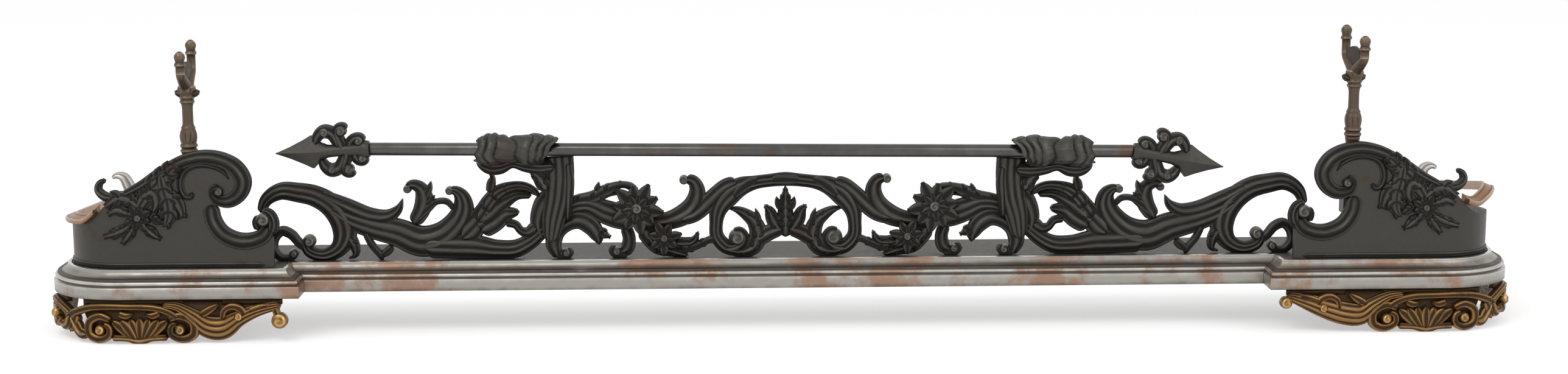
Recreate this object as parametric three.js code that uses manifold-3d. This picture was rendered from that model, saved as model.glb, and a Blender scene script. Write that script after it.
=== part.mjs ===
// A cast iron and steel hearth fender with scroll ends, a pierced scrollwork fret,
// a steel rail in two leaf brackets and a pair of forked tool rests.
// Millimetres, +X to the right, +Y towards the chimney breast, +Z up.
// The origin is on the hearth, under the middle of the whole fender.

import * as THREE from 'three';
import { mergeVertices } from 'three/addons/utils/BufferGeometryUtils.js';
import Module from 'manifold-3d';

const wasm = await Module();
wasm.setup();

// ---------------------------------------------------------------- main sizes
const halfWidth = 723;            // middle of the fender to the outer fascia face
const overallDepth = 304;         // front of the feet to the wall ends
const footHeight = 42.5;          // hearth to the underside of the steel moulding
const mouldingHeight = 27;        // steel moulding, bottom to top
const cornerRadius = 79;          // outer corner of the fascia, in plan
const blockInner = 471;           // middle to the inner end of each end block
const blockBreak = 32;            // end blocks stand this far in front of the centre
const footProud = 4;              // feet stand this far in front of the fascia
const seam = 0.3;                 // clearance where one piece seats on another

const fasciaY = -overallDepth / 2 + footProud;
const rearY = overallDepth / 2;
const cornerX = halfWidth - cornerRadius;
const centreY = fasciaY + blockBreak;
const plateTop = footHeight + mouldingHeight;

// ---------------------------------------------------------------- small tools
const solidOf = (geometry) => {
  geometry.deleteAttribute('normal');
  geometry.deleteAttribute('uv');
  const merged = mergeVertices(geometry, 1e-4);
  return new wasm.Manifold(new wasm.Mesh({
    numProp: 3,
    vertProperties: new Float32Array(merged.attributes.position.array),
    triVerts: new Uint32Array(merged.index.array),
  }));
};

const geometryOf = (solid) => {
  const mesh = solid.getMesh();
  const geometry = new THREE.BufferGeometry();
  geometry.setAttribute('position', new THREE.BufferAttribute(mesh.vertProperties, 3));
  geometry.setIndex(new THREE.BufferAttribute(mesh.triVerts, 1));
  geometry.computeVertexNormals();
  return geometry;
};

// the same solid with its faces turned over when they face inwards
const facingOut = (geometry) => {
  const solid = solidOf(geometry);
  if (solid.volume() > 0) return solid;
  const order = geometry.index.array;
  for (let i = 0; i < order.length; i += 3) {
    [order[i], order[i + 1]] = [order[i + 1], order[i]];
  }
  return solidOf(geometry);
};

const join = (solids) => solids.reduce((whole, piece) => whole.add(piece));

// closed skin through a run of equal rings of points, with flat ends
const loft = (rings) => {
  const count = rings[0].length;
  const points = rings.flat().flatMap((p) => [p.x, p.y, p.z]);
  const index = [];
  for (let r = 0; r < rings.length - 1; r += 1) {
    for (let i = 0; i < count; i += 1) {
      const a = r * count + i;
      const b = r * count + (i + 1) % count;
      index.push(a, b, b + count, a, b + count, a + count);
    }
  }
  const cap = (ring) => {
    const flat = ring.map((p) => p.clone());
    const normal = new THREE.Vector3();
    flat.forEach((p, i) => {
      const q = flat[(i + 1) % count];
      normal.add(new THREE.Vector3().crossVectors(p, q));
    });
    normal.normalize();
    const side = flat[1].clone().sub(flat[0]).normalize();
    const up = new THREE.Vector3().crossVectors(normal, side);
    const outline = flat.map((p) => new THREE.Vector2(p.dot(side), p.dot(up)));
    return THREE.ShapeUtils.triangulateShape(outline, []);
  };
  const last = (rings.length - 1) * count;
  cap(rings[0]).forEach(([a, b, c]) => index.push(a, c, b));
  cap(rings[rings.length - 1]).forEach(([a, b, c]) => index.push(last + a, last + b, last + c));
  const geometry = new THREE.BufferGeometry();
  geometry.setAttribute('position', new THREE.Float32BufferAttribute(points, 3));
  geometry.setIndex(index);
  return facingOut(geometry);
};

const box = (x0, x1, y0, y1, z0, z1) => {
  const geometry = new THREE.BoxGeometry(x1 - x0, y1 - y0, z1 - z0);
  geometry.translate((x0 + x1) / 2, (y0 + y1) / 2, (z0 + z1) / 2);
  return solidOf(geometry);
};

// turned form: profile of [radius, height] pairs that closes on itself or on the axis
const turned = (profile, sides, place = new THREE.Matrix4()) => {
  const geometry = new THREE.LatheGeometry(profile.map(([r, h]) => new THREE.Vector2(r, h)), sides);
  geometry.rotateX(Math.PI / 2);
  geometry.applyMatrix4(place);
  return facingOut(geometry);
};

// plan position of a point that follows the outside of the fender: straight along the
// front, round the corner and back along the side; inset runs inwards from the fascia
const around = (run, inset, reference) => {
  const turn = (run - cornerX) / reference;
  const radius = cornerRadius - inset;
  if (turn <= 0) return [run, fasciaY + inset];
  if (turn < Math.PI / 2) {
    return [cornerX + radius * Math.sin(turn), fasciaY + cornerRadius - radius * Math.cos(turn)];
  }
  return [cornerX + radius, fasciaY + cornerRadius + (turn - Math.PI / 2) * reference];
};

// a cast scroll or leaf: a ribbon along [across, up, half width] points, with a flat
// back, upright edges and a low ridge down its middle
const ribbon = (line, place, { back, front, ridge, steps }) => {
  const curve = new THREE.CatmullRomCurve3(
    line.map(([u, v]) => new THREE.Vector3(u, v, 0)), false, 'centripetal');
  const count = steps ?? line.length - 1;
  const crowned = ridge !== 0 && Math.max(...line.map(([, , half]) => half)) > 7;
  const rings = [];
  for (let i = 0; i <= count; i += 1) {
    const t = i / count;
    const p = curve.getPoint(t);
    const way = curve.getTangent(t);
    const left = new THREE.Vector3(-way.y, way.x, 0);
    const before = curve.getTangent(Math.max(0, t - 0.04));
    const after = curve.getTangent(Math.min(1, t + 0.04));
    const length = curve.getPoint(Math.max(0, t - 0.04))
      .distanceTo(curve.getPoint(Math.min(1, t + 0.04)));
    const bend = before.clone().cross(after).z / Math.max(length, 1e-6);
    const k = t * (line.length - 1);
    const j = Math.min(line.length - 2, Math.floor(k));
    const half = THREE.MathUtils.lerp(line[j][2], line[j + 1][2], k - j);
    const limit = 0.8 / Math.max(Math.abs(bend), 1e-6);
    const leftHalf = bend > 0 ? Math.min(half, limit) : half;
    const rightHalf = bend < 0 ? Math.min(half, limit) : half;
    const at = (off, deep) => place(p.x + left.x * off, p.y + left.y * off, deep);
    const ring = [at(-rightHalf, back), at(leftHalf, back), at(leftHalf, front)];
    if (crowned) ring.push(at(0, front + ridge * Math.min(1, half / 3)));
    ring.push(at(-rightHalf, front));
    rings.push(ring);
  }
  return loft(rings);
};

// the rolled eye that ends a scroll, a low faceted dome
const eye = ([u, v, radius], place, { back, front, ridge }) => {
  const sides = radius > 7 ? 8 : 6;
  const rings = [[1, back], [1, front], [0.62, front + ridge]].map(([share, deep]) => {
    const ring = [];
    for (let i = 0; i < sides; i += 1) {
      const a = (i + 0.5) * 2 * Math.PI / sides;
      ring.push(place(u + share * radius * Math.cos(a), v + share * radius * Math.sin(a), deep));
    }
    return ring;
  });
  return loft(rings);
};

// an oval piercing straight through a casting
const piercing = ([u, v, wide, high, lean = 0], place, back, front) => {
  const rings = [back, front].map((deep) => {
    const ring = [];
    for (let i = 0; i < 10; i += 1) {
      const a = i * Math.PI / 5;
      const x = wide * Math.cos(a);
      const y = high * Math.sin(a);
      const c = Math.cos(lean * Math.PI / 180);
      const s = Math.sin(lean * Math.PI / 180);
      ring.push(place(u + x * c - y * s, v + x * s + y * c, deep));
    }
    return ring;
  });
  return loft(rings);
};

// ---------------------------------------------------------------- looks
const castIron = { color: 0x3c3e3a, roughness: 0.55, metalness: 0.75 };
const brightSteel = { color: 0xb4b0a6, roughness: 0.32, metalness: 0.95 };
const railSteel = { color: 0x7c7d7c, roughness: 0.3, metalness: 0.95 };
const blackPlate = { color: 0x4a4b48, roughness: 0.6, metalness: 0.6 };
const copperCap = { color: 0xb07a58, roughness: 0.38, metalness: 0.9 };
const giltBrass = { color: 0x9a7443, roughness: 0.42, metalness: 0.85 };
const brownBronze = { color: 0x6a5844, roughness: 0.5, metalness: 0.8 };
const paleSteel = { color: 0xc9bdb4, roughness: 0.3, metalness: 0.9 };

const fender = new THREE.Group();
const add = (name, solid, look) => {
  const mesh = new THREE.Mesh(geometryOf(solid), new THREE.MeshStandardMaterial(look));
  mesh.name = name;
  fender.add(mesh);
  return mesh;
};

const mirrored = (solid) => solid.mirror([1, 0, 0]);
const both = (name, build, look) => {
  add(`left_${name}`, mirrored(build('left')), look);
  add(`right_${name}`, build('right'), look);
};

// ---------------------------------------------------------------- steel moulding
const fasciaHeight = 11.4;
const mouldingReach = 14.5;       // fascia face back to the moulding's top edge
const topLand = 3;                // flat land behind the top edge
const ledgeWidth = 8;             // shelf inside the moulding that carries the plates
const plateThickness = 2.5;
const mouldingWall = 4;

const landInset = mouldingReach + topLand;
const ledgeTop = mouldingHeight - plateThickness - seam;
const ledgeBottom = ledgeTop - 3;
const beadInset = 1.2;
const cavettoFoot = fasciaHeight + 7.6;
const cavettoRise = mouldingHeight - 0.8 - cavettoFoot;

const mouldingProfile = [
  [0, 0],
  [0, fasciaHeight],
  [2.8, fasciaHeight + 0.6],
  [2.8, fasciaHeight + 2.1],
  [beadInset + 0.5, fasciaHeight + 2.6],
  [beadInset, fasciaHeight + 3.8],
  [beadInset + 0.5, fasciaHeight + 5],
  [3.6, fasciaHeight + 5.5],
  [3.8, cavettoFoot],
];
for (let i = 1; i <= 3; i += 1) {
  const a = i / 3 * Math.PI / 2;
  mouldingProfile.push([
    3.8 + (mouldingReach - 4.6) * Math.sin(a * 0.98),
    cavettoFoot + cavettoRise * (1 - Math.cos(a)),
  ]);
}
mouldingProfile.push(
  [mouldingReach, mouldingHeight],
  [landInset, mouldingHeight],
  [landInset, ledgeTop],
  [landInset + ledgeWidth, ledgeTop],
  [landInset + ledgeWidth, ledgeBottom],
  [landInset - mouldingWall, ledgeBottom],
  [mouldingWall + 2.5, cavettoFoot - 4],
  [mouldingWall, fasciaHeight - 2],
  [mouldingWall, 0],
);

// sweep of the profile along a plan path, mitred at each corner; the first and last
// points only set the direction of the end mitres
const mitredSweep = (path, profile, base) => {
  const rings = [];
  const way = (a, b) => new THREE.Vector2(b[0] - a[0], b[1] - a[1]).normalize();
  for (let i = 1; i < path.length - 1; i += 1) {
    const into = way(path[i - 1], path[i]);
    const out = way(path[i], path[i + 1]);
    const bisector = new THREE.Vector2(-into.y - out.y, into.x + out.x).normalize();
    const stretch = 1 / (bisector.x * -into.y + bisector.y * into.x);
    const shift = i === 1 ? 1 : (i === path.length - 2 ? -1 : 0);
    const along = shift > 0 ? out : into;
    rings.push(profile.map(([inset, up]) => new THREE.Vector3(
      path[i][0] + bisector.x * inset * stretch + along.x * shift * seam / 2,
      path[i][1] + bisector.y * inset * stretch + along.y * shift * seam / 2,
      base + up,
    )));
  }
  return loft(rings);
};

const cornerSteps = 5;
const blockPath = [
  [blockInner - 100, centreY],
  [blockInner, centreY],
  [blockInner, fasciaY],
];
for (let i = 0; i <= cornerSteps; i += 1) {
  blockPath.push(around(cornerX + i / cornerSteps * cornerRadius * Math.PI / 2, 0, cornerRadius));
}
blockPath.push([halfWidth, rearY + seam / 2], [halfWidth, rearY + 100]);

add('centre_moulding', mitredSweep([
  [-blockInner, fasciaY], [-blockInner, centreY], [blockInner, centreY], [blockInner, fasciaY],
], mouldingProfile, footHeight), brightSteel);
both('block_moulding', () => mitredSweep(blockPath, mouldingProfile, footHeight), brightSteel);

// ---------------------------------------------------------------- base plates
const plateReach = 95;            // plate behind the moulding's top edge, along the front
const sidePlateReach = 50;        // the same along the two sides
const plateBottom = plateTop - plateThickness;
const plateFrontY = centreY + landInset + seam;
const plateRearY = centreY + mouldingReach + plateReach;
const plateJoint = blockInner + landInset - 2;

const flatPlate = (outline) => {
  const shape = new THREE.Shape(outline.map(([x, y]) => new THREE.Vector2(x, y)));
  const geometry = new THREE.ExtrudeGeometry(shape, { depth: plateThickness, bevelEnabled: false });
  geometry.translate(0, 0, plateBottom);
  return solidOf(geometry);
};

add('centre_base_plate', flatPlate([
  [-plateJoint, plateFrontY], [plateJoint, plateFrontY],
  [plateJoint, plateRearY], [-plateJoint, plateRearY],
]), blackPlate);
const blockPlateInset = landInset + seam;
const blockPlate = [[plateJoint + seam, plateFrontY], [blockInner + blockPlateInset, plateFrontY],
  [blockInner + blockPlateInset, fasciaY + blockPlateInset]];
for (let i = 0; i <= cornerSteps; i += 1) {
  const run = cornerX + i / cornerSteps * cornerRadius * Math.PI / 2;
  blockPlate.push(around(run, blockPlateInset, cornerRadius));
}
blockPlate.push(
  [halfWidth - blockPlateInset, rearY - 1],
  [halfWidth - mouldingReach - sidePlateReach, rearY - 1],
  [halfWidth - mouldingReach - sidePlateReach, plateRearY],
  [plateJoint + seam, plateRearY],
);
both('block_base_plate', () => flatPlate(blockPlate), blackPlate);

// ---------------------------------------------------------------- pierced fret
const fretSetback = 23;           // centre fascia face back to the middle of the fret
const fretThickness = 8;
const fretRidge = 2.4;
const wingJoint = 146.5;          // the wings meet the centre casting behind the rosettes
const fretY = centreY + fretSetback;
const fretFrontY = fretY - fretThickness / 2;
const fretBackY = fretY + fretThickness / 2;
const fretCrestY = fretFrontY - fretRidge;

const fretPlace = (u, v, deep) => new THREE.Vector3(u, deep, plateTop + v);
// the tall leaves of the right wing and its bracket stand lower than those on the left,
// and its great end scroll stands higher
const settleFrom = 45;            // height above the plate where the difference begins
const leafShare = 0.87;
const scrollShare = 1.08;
const settledPlace = (u, v, deep) => {
  const share = THREE.MathUtils.lerp(
    leafShare, scrollShare, THREE.MathUtils.smoothstep(u, 405, 475));
  return fretPlace(u, Math.min(v, settleFrom) + Math.max(0, v - settleFrom) * share, deep);
};
const placeOn = (side) => (side === 'right' ? settledPlace : fretPlace);
const fretBody = { back: fretBackY, front: fretFrontY, ridge: -fretRidge };
const plainBody = { back: fretBackY, front: fretFrontY, ridge: 0 };

// each line is a scroll or leaf as [from the middle, above the plate, half width]
const wingScrolls = [
  // great end scroll, rolled under at its foot
  [[515, 48, 4], [509, 61, 6.5], [495, 69, 8.5], [478, 67.5, 9.7], [462, 64, 10.5],
    [447, 55, 11.5], [436, 40, 12.5], [434, 24, 11.5], [441, 11, 8.5], [455, 5, 6.6],
    [469, 9.5, 6], [473.5, 19, 4.5]],
  // long flowing leaf in three tongues
  [[456, 66, 5], [432, 54, 8], [408, 44, 8], [392, 43, 7], [381, 50, 4.5], [376, 61, 0.5]],
  [[446, 52, 6], [428, 41, 10], [406, 33, 12], [382, 27, 14], [358, 18, 15.5],
    [338, 23, 14.5], [323, 37, 12.5], [317, 51, 10.5], [319, 63, 7.5], [325, 68.5, 4.5],
    [330.5, 68, 3.5]],
  [[356, 14, 13], [332, 13, 12.5], [306, 12, 12], [285, 9.5, 9.5], [266, 10, 9],
    [252, 17, 8], [240, 27, 7], [230, 36, 7]],
  // bridge over the teardrop opening
  [[364, 40, 4], [352, 51, 4.5], [343, 57.5, 3.2], [333, 57.5, 3], [326, 50, 2.5]],
  // hooked leaf with two sharp tips
  [[366, 36, 7], [358, 49, 8.5], [355, 61, 9], [359, 71.5, 6.5], [367, 74.5, 4.8], [372, 71, 3.8]],
  [[355, 62, 5], [350, 71, 3.5], [348, 78, 0.5]],
  [[352, 54, 5], [347, 61, 2.5], [344.5, 64, 0.5]],
  // acanthus fronds between the leaf and the upright
  [[318, 22, 14], [306, 34, 12], [297, 46, 10], [290, 57, 9], [281, 66, 8], [268, 71.5, 5.5],
    [256, 71.5, 4.5], [247, 67, 3.5], [241, 61, 0.8]],
  [[291, 66, 4], [289, 76, 4.5], [288, 82, 2.5], [292, 87, 0.5]],
  [[304, 32, 9], [291, 44, 8.5], [278, 55, 7], [264, 63, 4.5], [250, 63, 3]],
  [[300, 28, 9], [286, 36, 9], [276, 44, 7.5], [268, 46, 5], [262, 46.5, 2.5]],
  [[276, 36, 4], [266, 34, 4], [261, 28, 4], [254, 26, 6], [244, 32, 8]],
  // sprigs under the long leaf
  [[430, 24, 7], [424, 13, 5], [424, 5, 3], [431, 2, 0.6]],
  [[414, 28, 3], [408, 16, 3.5], [400, 6, 3.5], [397, 0, 2]],
  [[399, 4, 3], [392, 9, 4.5], [387, 14, 3]],
  // small scroll that closes the fret at its outer end
  [[482, 8, 4.2], [487, 3.5, 4], [496, 3, 4.2], [503.5, 11, 4.5], [503, 22, 5],
    [495, 29.5, 5], [486, 26, 4.8], [479, 18, 4.5], [472, 13, 5]],
  // arched scroll inside the upright
  [[224, 1, 4.5], [229, 14, 8], [226, 26, 8.5], [216, 35, 8.5], [203, 38, 9], [191, 31, 9],
    [185, 20, 6], [184, 13, 0.6]],
  [[186, 28, 6], [178, 23, 4], [172.5, 20.5, 0.5]],
  // bands that run from the upright to the rosette
  [[228, 44, 8], [212, 51, 9], [194, 53, 9.5], [178, 46, 12], [163, 41, 12.5], [148, 38, 11]],
  [[222, 50, 5], [206, 58, 5], [190, 61, 6], [176, 67.5, 6], [161, 73, 3.4], [151, 70, 4],
    [147.5, 60, 5]],
  [[186, 67, 4], [184.5, 72, 2.5], [183.5, 76, 0.5]],
  [[184, 60, 4], [172, 63.5, 2], [160, 64, 1.6], [150, 63, 4]],
  // hanging hook beside the rosette
  [[158, 32, 6], [154.5, 19, 6.5], [157, 9, 7], [163, 6.5, 5.5]],
];
const wingUpright = [[238, 20, 7], [240, 36, 12], [234, 50, 15.5], [225.5, 64, 14],
  [225.5, 76, 15], [228, 86, 15]];
const wingEyes = [[468.5, 19.5, 6.5], [330, 68.5, 4.2], [371, 70.5, 4.2], [216.5, 6, 4.6],
  [167, 7, 4.6], [484, 7.5, 4.6]];
const wingPiercings = [[270, 54.5, 2.4, 2.4], [257.5, 37.5, 4, 4.4], [259, 50.5, 7, 6]];

const centreScrolls = [
  // hooked scroll beside the rosette
  [[143, 34, 9], [130, 35, 8.5], [116, 36.5, 9], [100, 43, 10.5], [90, 54, 9.5], [87, 67, 8],
    [91, 76, 6], [98, 78.5, 4.5]],
  [[104, 38, 7], [90, 43, 8], [78, 53, 8.5], [68, 63, 8], [58, 71, 7.5], [48, 75, 6]],
  // inner frond and palmette leaves
  [[62, 9, 5.5], [46, 5.5, 5.5], [33, 9, 8], [27, 22, 9], [31, 35, 7.5], [40, 43, 5.5],
    [49, 47.5, 3], [56, 48, 0.5]],
  [[28, 33, 5], [27.5, 41, 3], [30, 48.5, 0.5]],
  [[30, 16, 8], [16, 24, 8], [3, 29, 7]],
  [[4, 25, 6], [12, 36, 7], [16, 46, 5], [21, 52, 0.5]],
  [[3, 48, 5], [7.5, 54, 3.5], [9, 60, 0.5]],
  // leafwork round the lower flower
  [[141, 30, 9], [134, 20, 9], [126, 11, 8], [116, 8, 7], [105, 4.5, 4.5], [96, 2, 1.5]],
  [[116, 17, 8], [102, 14, 6], [91, 16, 5], [86, 26, 0.5]],
  [[104, 9, 5], [94, 9.5, 4], [86, 12.5, 4], [76, 17, 3.5], [68, 19, 5]],
];
// one side of the arch, from its crown down to the rolled foot
const archSide = [[16, 76, 6.3], [30, 74, 6.8], [44, 70, 9.5], [57, 61, 11.5], [66, 48, 9],
  [68.5, 34, 6.8], [67.5, 20, 7], [57, 9.5, 7.2], [45, 11, 6]];
const archLine = [...archSide.map(([u, v, half]) => [-u, v, half]).reverse(),
  [0, 77.3, 6.8], ...archSide];
const palmetteLeaf = [[0, 22, 6], [0, 40, 9], [0, 54, 8], [0, 70, 0.6]];
const centreEyes = [[100, 77.5, 4.6], [48, 19.5, 8.5]];

const clearOfPlate = (solid) => solid.subtract(
  box(-halfWidth, halfWidth, fretCrestY - 20, fretBackY + 20, plateTop - 40, plateTop + seam));

both('fret_wing', (side) => {
  const place = placeOn(side);
  const pieces = wingScrolls.map((line) => ribbon(line, place, fretBody));
  pieces.push(ribbon(wingUpright, place, plainBody));
  pieces.push(...wingEyes.map((spot) => eye(spot, place, fretBody)));
  const holes = wingPiercings.map((spot) => piercing(spot, place, fretBackY + 5, fretCrestY - 5));
  const keep = box(wingJoint + seam / 2, halfWidth, fretCrestY - 5, fretBackY + 5,
    plateTop, plateTop + 200);
  return clearOfPlate(join(pieces).subtract(join(holes)).intersect(keep));
}, castIron);

const centreHalf = join([
  ...centreScrolls.map((line) => ribbon(line, fretPlace, fretBody)),
  ...centreEyes.map((spot) => eye(spot, fretPlace, fretBody)),
]);
const centreKeep = box(-wingJoint + seam / 2, wingJoint - seam / 2, fretCrestY - 5, fretBackY + 5,
  plateTop, plateTop + 200);
add('fret_centre', clearOfPlate(join([
  centreHalf, mirrored(centreHalf), ribbon(archLine, fretPlace, fretBody),
  ribbon(palmetteLeaf, fretPlace, fretBody),
]).intersect(centreKeep)), castIron);

// rosettes: petals round a domed boss, screwed over the joints of the fret
const rosette = (u, v, reach, petals, thick) => {
  const back = fretCrestY - seam;
  const pieces = [];
  for (let i = 0; i < petals; i += 1) {
    const a = (i + 0.25) / petals * Math.PI * 2;
    const spoke = (r, w) => [u + r * Math.cos(a), v + r * Math.sin(a), w];
    pieces.push(ribbon([spoke(2, 2.5), spoke(reach * 0.6, reach * 0.36), spoke(reach, 1.2)],
      fretPlace, { back, front: back - thick, ridge: -1.6 }));
  }
  pieces.push(eye([u, v, reach * 0.3], fretPlace, { back, front: back - thick - 1.5, ridge: -2 }));
  return join(pieces);
};
const bigRosette = { u: wingJoint, v: 50.5, reach: 17, petals: 6 };
const smallRosette = { u: 120, v: 20.5, reach: 12, petals: 5 };
both('large_rosette', () => rosette(
  bigRosette.u, bigRosette.v, bigRosette.reach, bigRosette.petals, 3), castIron);
both('small_rosette', () => rosette(
  smallRosette.u, smallRosette.v, smallRosette.reach, smallRosette.petals, 2.6), castIron);

// ---------------------------------------------------------------- rail and its brackets
const railDiameter = 12.7;
const railBore = 10.4;
const railHeight = 108.7;         // plate up to the rail's axis at the middle of the fender
const railLean = 0.585;           // degrees that the rail falls to the right
const railForward = 17;           // rail axis in front of the middle of the fret
const railOffset = -32;           // the rail lies this far to the left of the middle
const railLength = 744;
const bracketInner = 220;         // middle to the inner end of a bracket's sleeve
const sleeveLength = 84;
const sleeveClear = 0.5;          // rail in its sleeve, on the radius
const railY = fretY - railForward;
const railZ = plateTop + railHeight;

// what lies along the rail is made level and then turned to the rail's slope
const leaned = (solid) => solid.translate([0, 0, -railZ]).rotate([0, railLean, 0])
  .translate([0, 0, railZ]);
const alongX = (x, y, z) => new THREE.Matrix4().makeTranslation(x, y, z)
  .multiply(new THREE.Matrix4().makeRotationY(Math.PI / 2));

// the sleeve swells and nips in like leaves bound round the rail, as [share, radius]
const sleeveShape = [[0, 8.6], [0.08, 12.4], [0.26, 14], [0.36, 16.4], [0.48, 13],
  [0.56, 14.2], [0.65, 13], [0.78, 16.4], [0.91, 14.4], [1, 8.8]];
const boreRadius = railDiameter / 2 + sleeveClear;
const strapBackY = fretCrestY - 0.4;
const strapFrontY = strapBackY - 6;

const railBracket = (side) => {
  const place = placeOn(side);
  const onRail = (solid) => (side === 'right' ? leaned(solid)
    : mirrored(leaned(mirrored(solid))));
  const outer = sleeveShape.map(([share, radius]) => [radius, share * sleeveLength]);
  const sleeve = onRail(turned([[0, 0], ...outer, [0, sleeveLength]], 10,
    alongX(bracketInner, railY, railZ)));
  const strapBody = { back: strapBackY, front: strapFrontY, ridge: -1.5 };
  const deepBody = { back: strapBackY, front: railY, ridge: -2 };
  const strap = ribbon([[219, 30, 4], [220, 44, 7.5], [220, 66, 9], [218, 88, 9.5],
    [220, 104, 10]], place, strapBody);
  const belly = ribbon([[226, 92, 10], [240, 99, 8], [254, 97, 6], [266, 100, 6],
    [278, 98.5, 6.5], [289, 95, 7], [297, 99, 6], [302, 105, 3]], place, deepBody);
  const leafTip = ribbon([[238, 84, 7], [248, 86, 4], [255, 85, 0.5]], place, strapBody);
  const pad = eye([226, 78, 8], place,
    { back: fretFrontY - seam, front: strapBackY - 1, ridge: -0.5 });
  const hole = piercing([237, 93.5, 3, 4], place, strapBackY + 5, railY - 30);
  const bore = onRail(turned([[0, -20], [boreRadius, -20], [boreRadius, sleeveLength + 20],
    [0, sleeveLength + 20]], 12, alongX(bracketInner, railY, railZ)));
  return join([sleeve, strap, belly, leafTip, pad]).subtract(bore).subtract(hole);
};
both('rail_bracket', railBracket, castIron);

const tubeStart = railOffset - railLength / 2;
add('rail_tube', leaned(turned([
  [railBore / 2, 0], [railDiameter / 2, 0], [railDiameter / 2, railLength],
  [railBore / 2, railLength], [railBore / 2, 0],
], 16, alongX(tubeStart, railY, railZ))), railSteel);

// spearhead with two pairs of curls and a pair of smaller ones at its collar
const headLength = 91;
const headHalfHeight = 16.3;
const headHalfThickness = 6.5;
const spigotLength = 24;
const spigotClear = 0.35;
const headDroop = { left: 3, right: 9.7 };  // degrees that each head hangs on its spigot
const lowerCurlShift = -5;        // the lower curls sit this much nearer the rail

const headStations = [[0, 8, 8], [0.08, 8.4, 8.4], [0.3, 5.6, 5.6], [0.48, 7, 5.8],
  [0.6, headHalfHeight, headHalfThickness], [0.7, 11.4, 5.2], [0.84, 5.6, 3.4], [1, 0.5, 0.5]];
const spearhead = (side) => {
  const tilt = new THREE.Matrix4().makeRotationZ(-THREE.MathUtils.degToRad(headDroop[side]));
  const flat = (along, up, deep) => {
    const p = new THREE.Vector3(along, up, 0).applyMatrix4(tilt);
    return new THREE.Vector3(p.x, deep, p.y);
  };
  const blade = loft(headStations.map(([share, high, thick]) => {
    const ring = [];
    for (let i = 0; i < 8; i += 1) {
      const a = i * Math.PI / 4;
      const lens = i % 2 ? 0.72 : 1;
      ring.push(flat(share * headLength, high * lens * Math.sin(a), thick * lens * Math.cos(a)));
    }
    return ring;
  }));
  const body = { back: headHalfThickness - 2, front: -headHalfThickness + 2, ridge: -1.2 };
  const curls = [];
  for (const up of [1, -1]) {
    const shift = up < 0 ? lowerCurlShift : 0;
    const arm = (line) => line.map(([along, high, half]) => [along + shift, high * up, half]);
    curls.push(
      ribbon(arm([[47, 3, 3], [50, 9, 3], [46, 15, 3.4]]), flat, body),
      ribbon(arm([[26, 3, 3], [27, 10, 3.4], [28, 16, 4]]), flat, body),
      eye([42 + shift, 17.5 * up, 6], flat, body),
      eye([27 + shift, 18.5 * up, 6.4], flat, body),
      eye([9 + shift * 0.6, 9.6 * up, 5.4], flat, body),
    );
  }
  return join([blade, ...curls]).subtract(box(-60, 0, -40, 40, -40, 40));
};
// turned spigot that carries the head and turns inside the end of the rail's tube
const spigotRadius = railBore / 2 - spigotClear;
const headSpigot = turned([[0, -spigotLength], [spigotRadius, -spigotLength],
  [spigotRadius, -seam], [0, -seam]], 10, new THREE.Matrix4().makeRotationY(Math.PI / 2));
const headAt = (solid, x) => leaned(solid.translate([x, railY, railZ]));
const leftEnd = tubeStart - seam;
const rightEnd = tubeStart + railLength + seam;
add('left_spearhead', headAt(mirrored(spearhead('left')), leftEnd), castIron);
add('right_spearhead', headAt(spearhead('right'), rightEnd), castIron);
add('left_head_spigot', headAt(mirrored(headSpigot), leftEnd), railSteel);
add('right_head_spigot', headAt(headSpigot, rightEnd), railSteel);

// ---------------------------------------------------------------- scroll end panels
const panelInset = 20;            // fascia face back to the panel's face
const panelThickness = 4;
const panelRelief = 3;
const panelFront = 147;           // straight front of the panel, inner edge to the corner
const panelRise = 74;             // panel's height beside its scroll
const panelDip = 42;              // the same at the corner, where the side begins
const panelRear = 26;             // its height at the wall end
const panelReference = cornerRadius - panelInset;
const sideStart = cornerX + panelReference * Math.PI / 2;
const panelEnd = sideStart + rearY - (fasciaY + cornerRadius) - 2;

const panelInner = cornerX - panelFront;

const panelPlace = (u, v, deep) => {
  const [x, y] = around(u, panelInset + deep, panelReference);
  return new THREE.Vector3(x, y, plateTop + v);
};
// the scrolls, leaves and feet of an end block are drawn for a corner at this distance
// from the middle, and they keep their place beside it when the fender is wider
const drawnCorner = 644;
const atCorner = (u) => u + cornerX - drawnCorner;
const scrollPlace = (u, v, deep) => panelPlace(atCorner(u), v, deep);
// height of the panel's top edge along its run, from the scroll to the wall
const dipRun = cornerX + 42;
const panelTop = (run) => {
  const first = cornerX - 6;
  if (run < first) return panelRise;
  if (run < dipRun) {
    const t = (run - first) / (dipRun - first);
    return THREE.MathUtils.lerp(panelRise, panelDip, t * t * (3 - 2 * t));
  }
  return THREE.MathUtils.lerp(panelDip, panelRear, (run - dipRun) / (panelEnd - dipRun));
};

// outline of the flat front sheet, under the borders and the volute, as [across, up]
const sheetOutline = [
  [drawnCorner - panelFront, seam], [drawnCorner - panelFront, 30], [508, 27], [522, 24], [536, 27], [548, 34], [556, 44],
  [560, 58], [556, 70], [532, 74], [523, 86], [532, 102], [552, 110], [574, 107], [590, 100],
  [606, 90], [622, 79], [drawnCorner - 8, panelRise - 2], [drawnCorner - 2, panelRise - 2],
  [drawnCorner - 2, seam],
];
const volute = [[636, 74, 4], [621, 81, 5], [606, 91, 5], [592, 99.5, 5], [577, 106.5, 5],
  [560, 110, 5.5], [543, 107.5, 6], [529, 99, 6.2], [522.5, 85, 6.2], [526.5, 71, 6],
  [538, 63.5, 5.6], [550, 67.5, 5], [551.5, 76, 4.4], [545, 80.5, 3.8]];
const innerRoll = [[600, 84, 3], [588, 95, 3], [572, 97, 3.2], [576, 84, 3.2], [574, 72, 3.2]];
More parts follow.
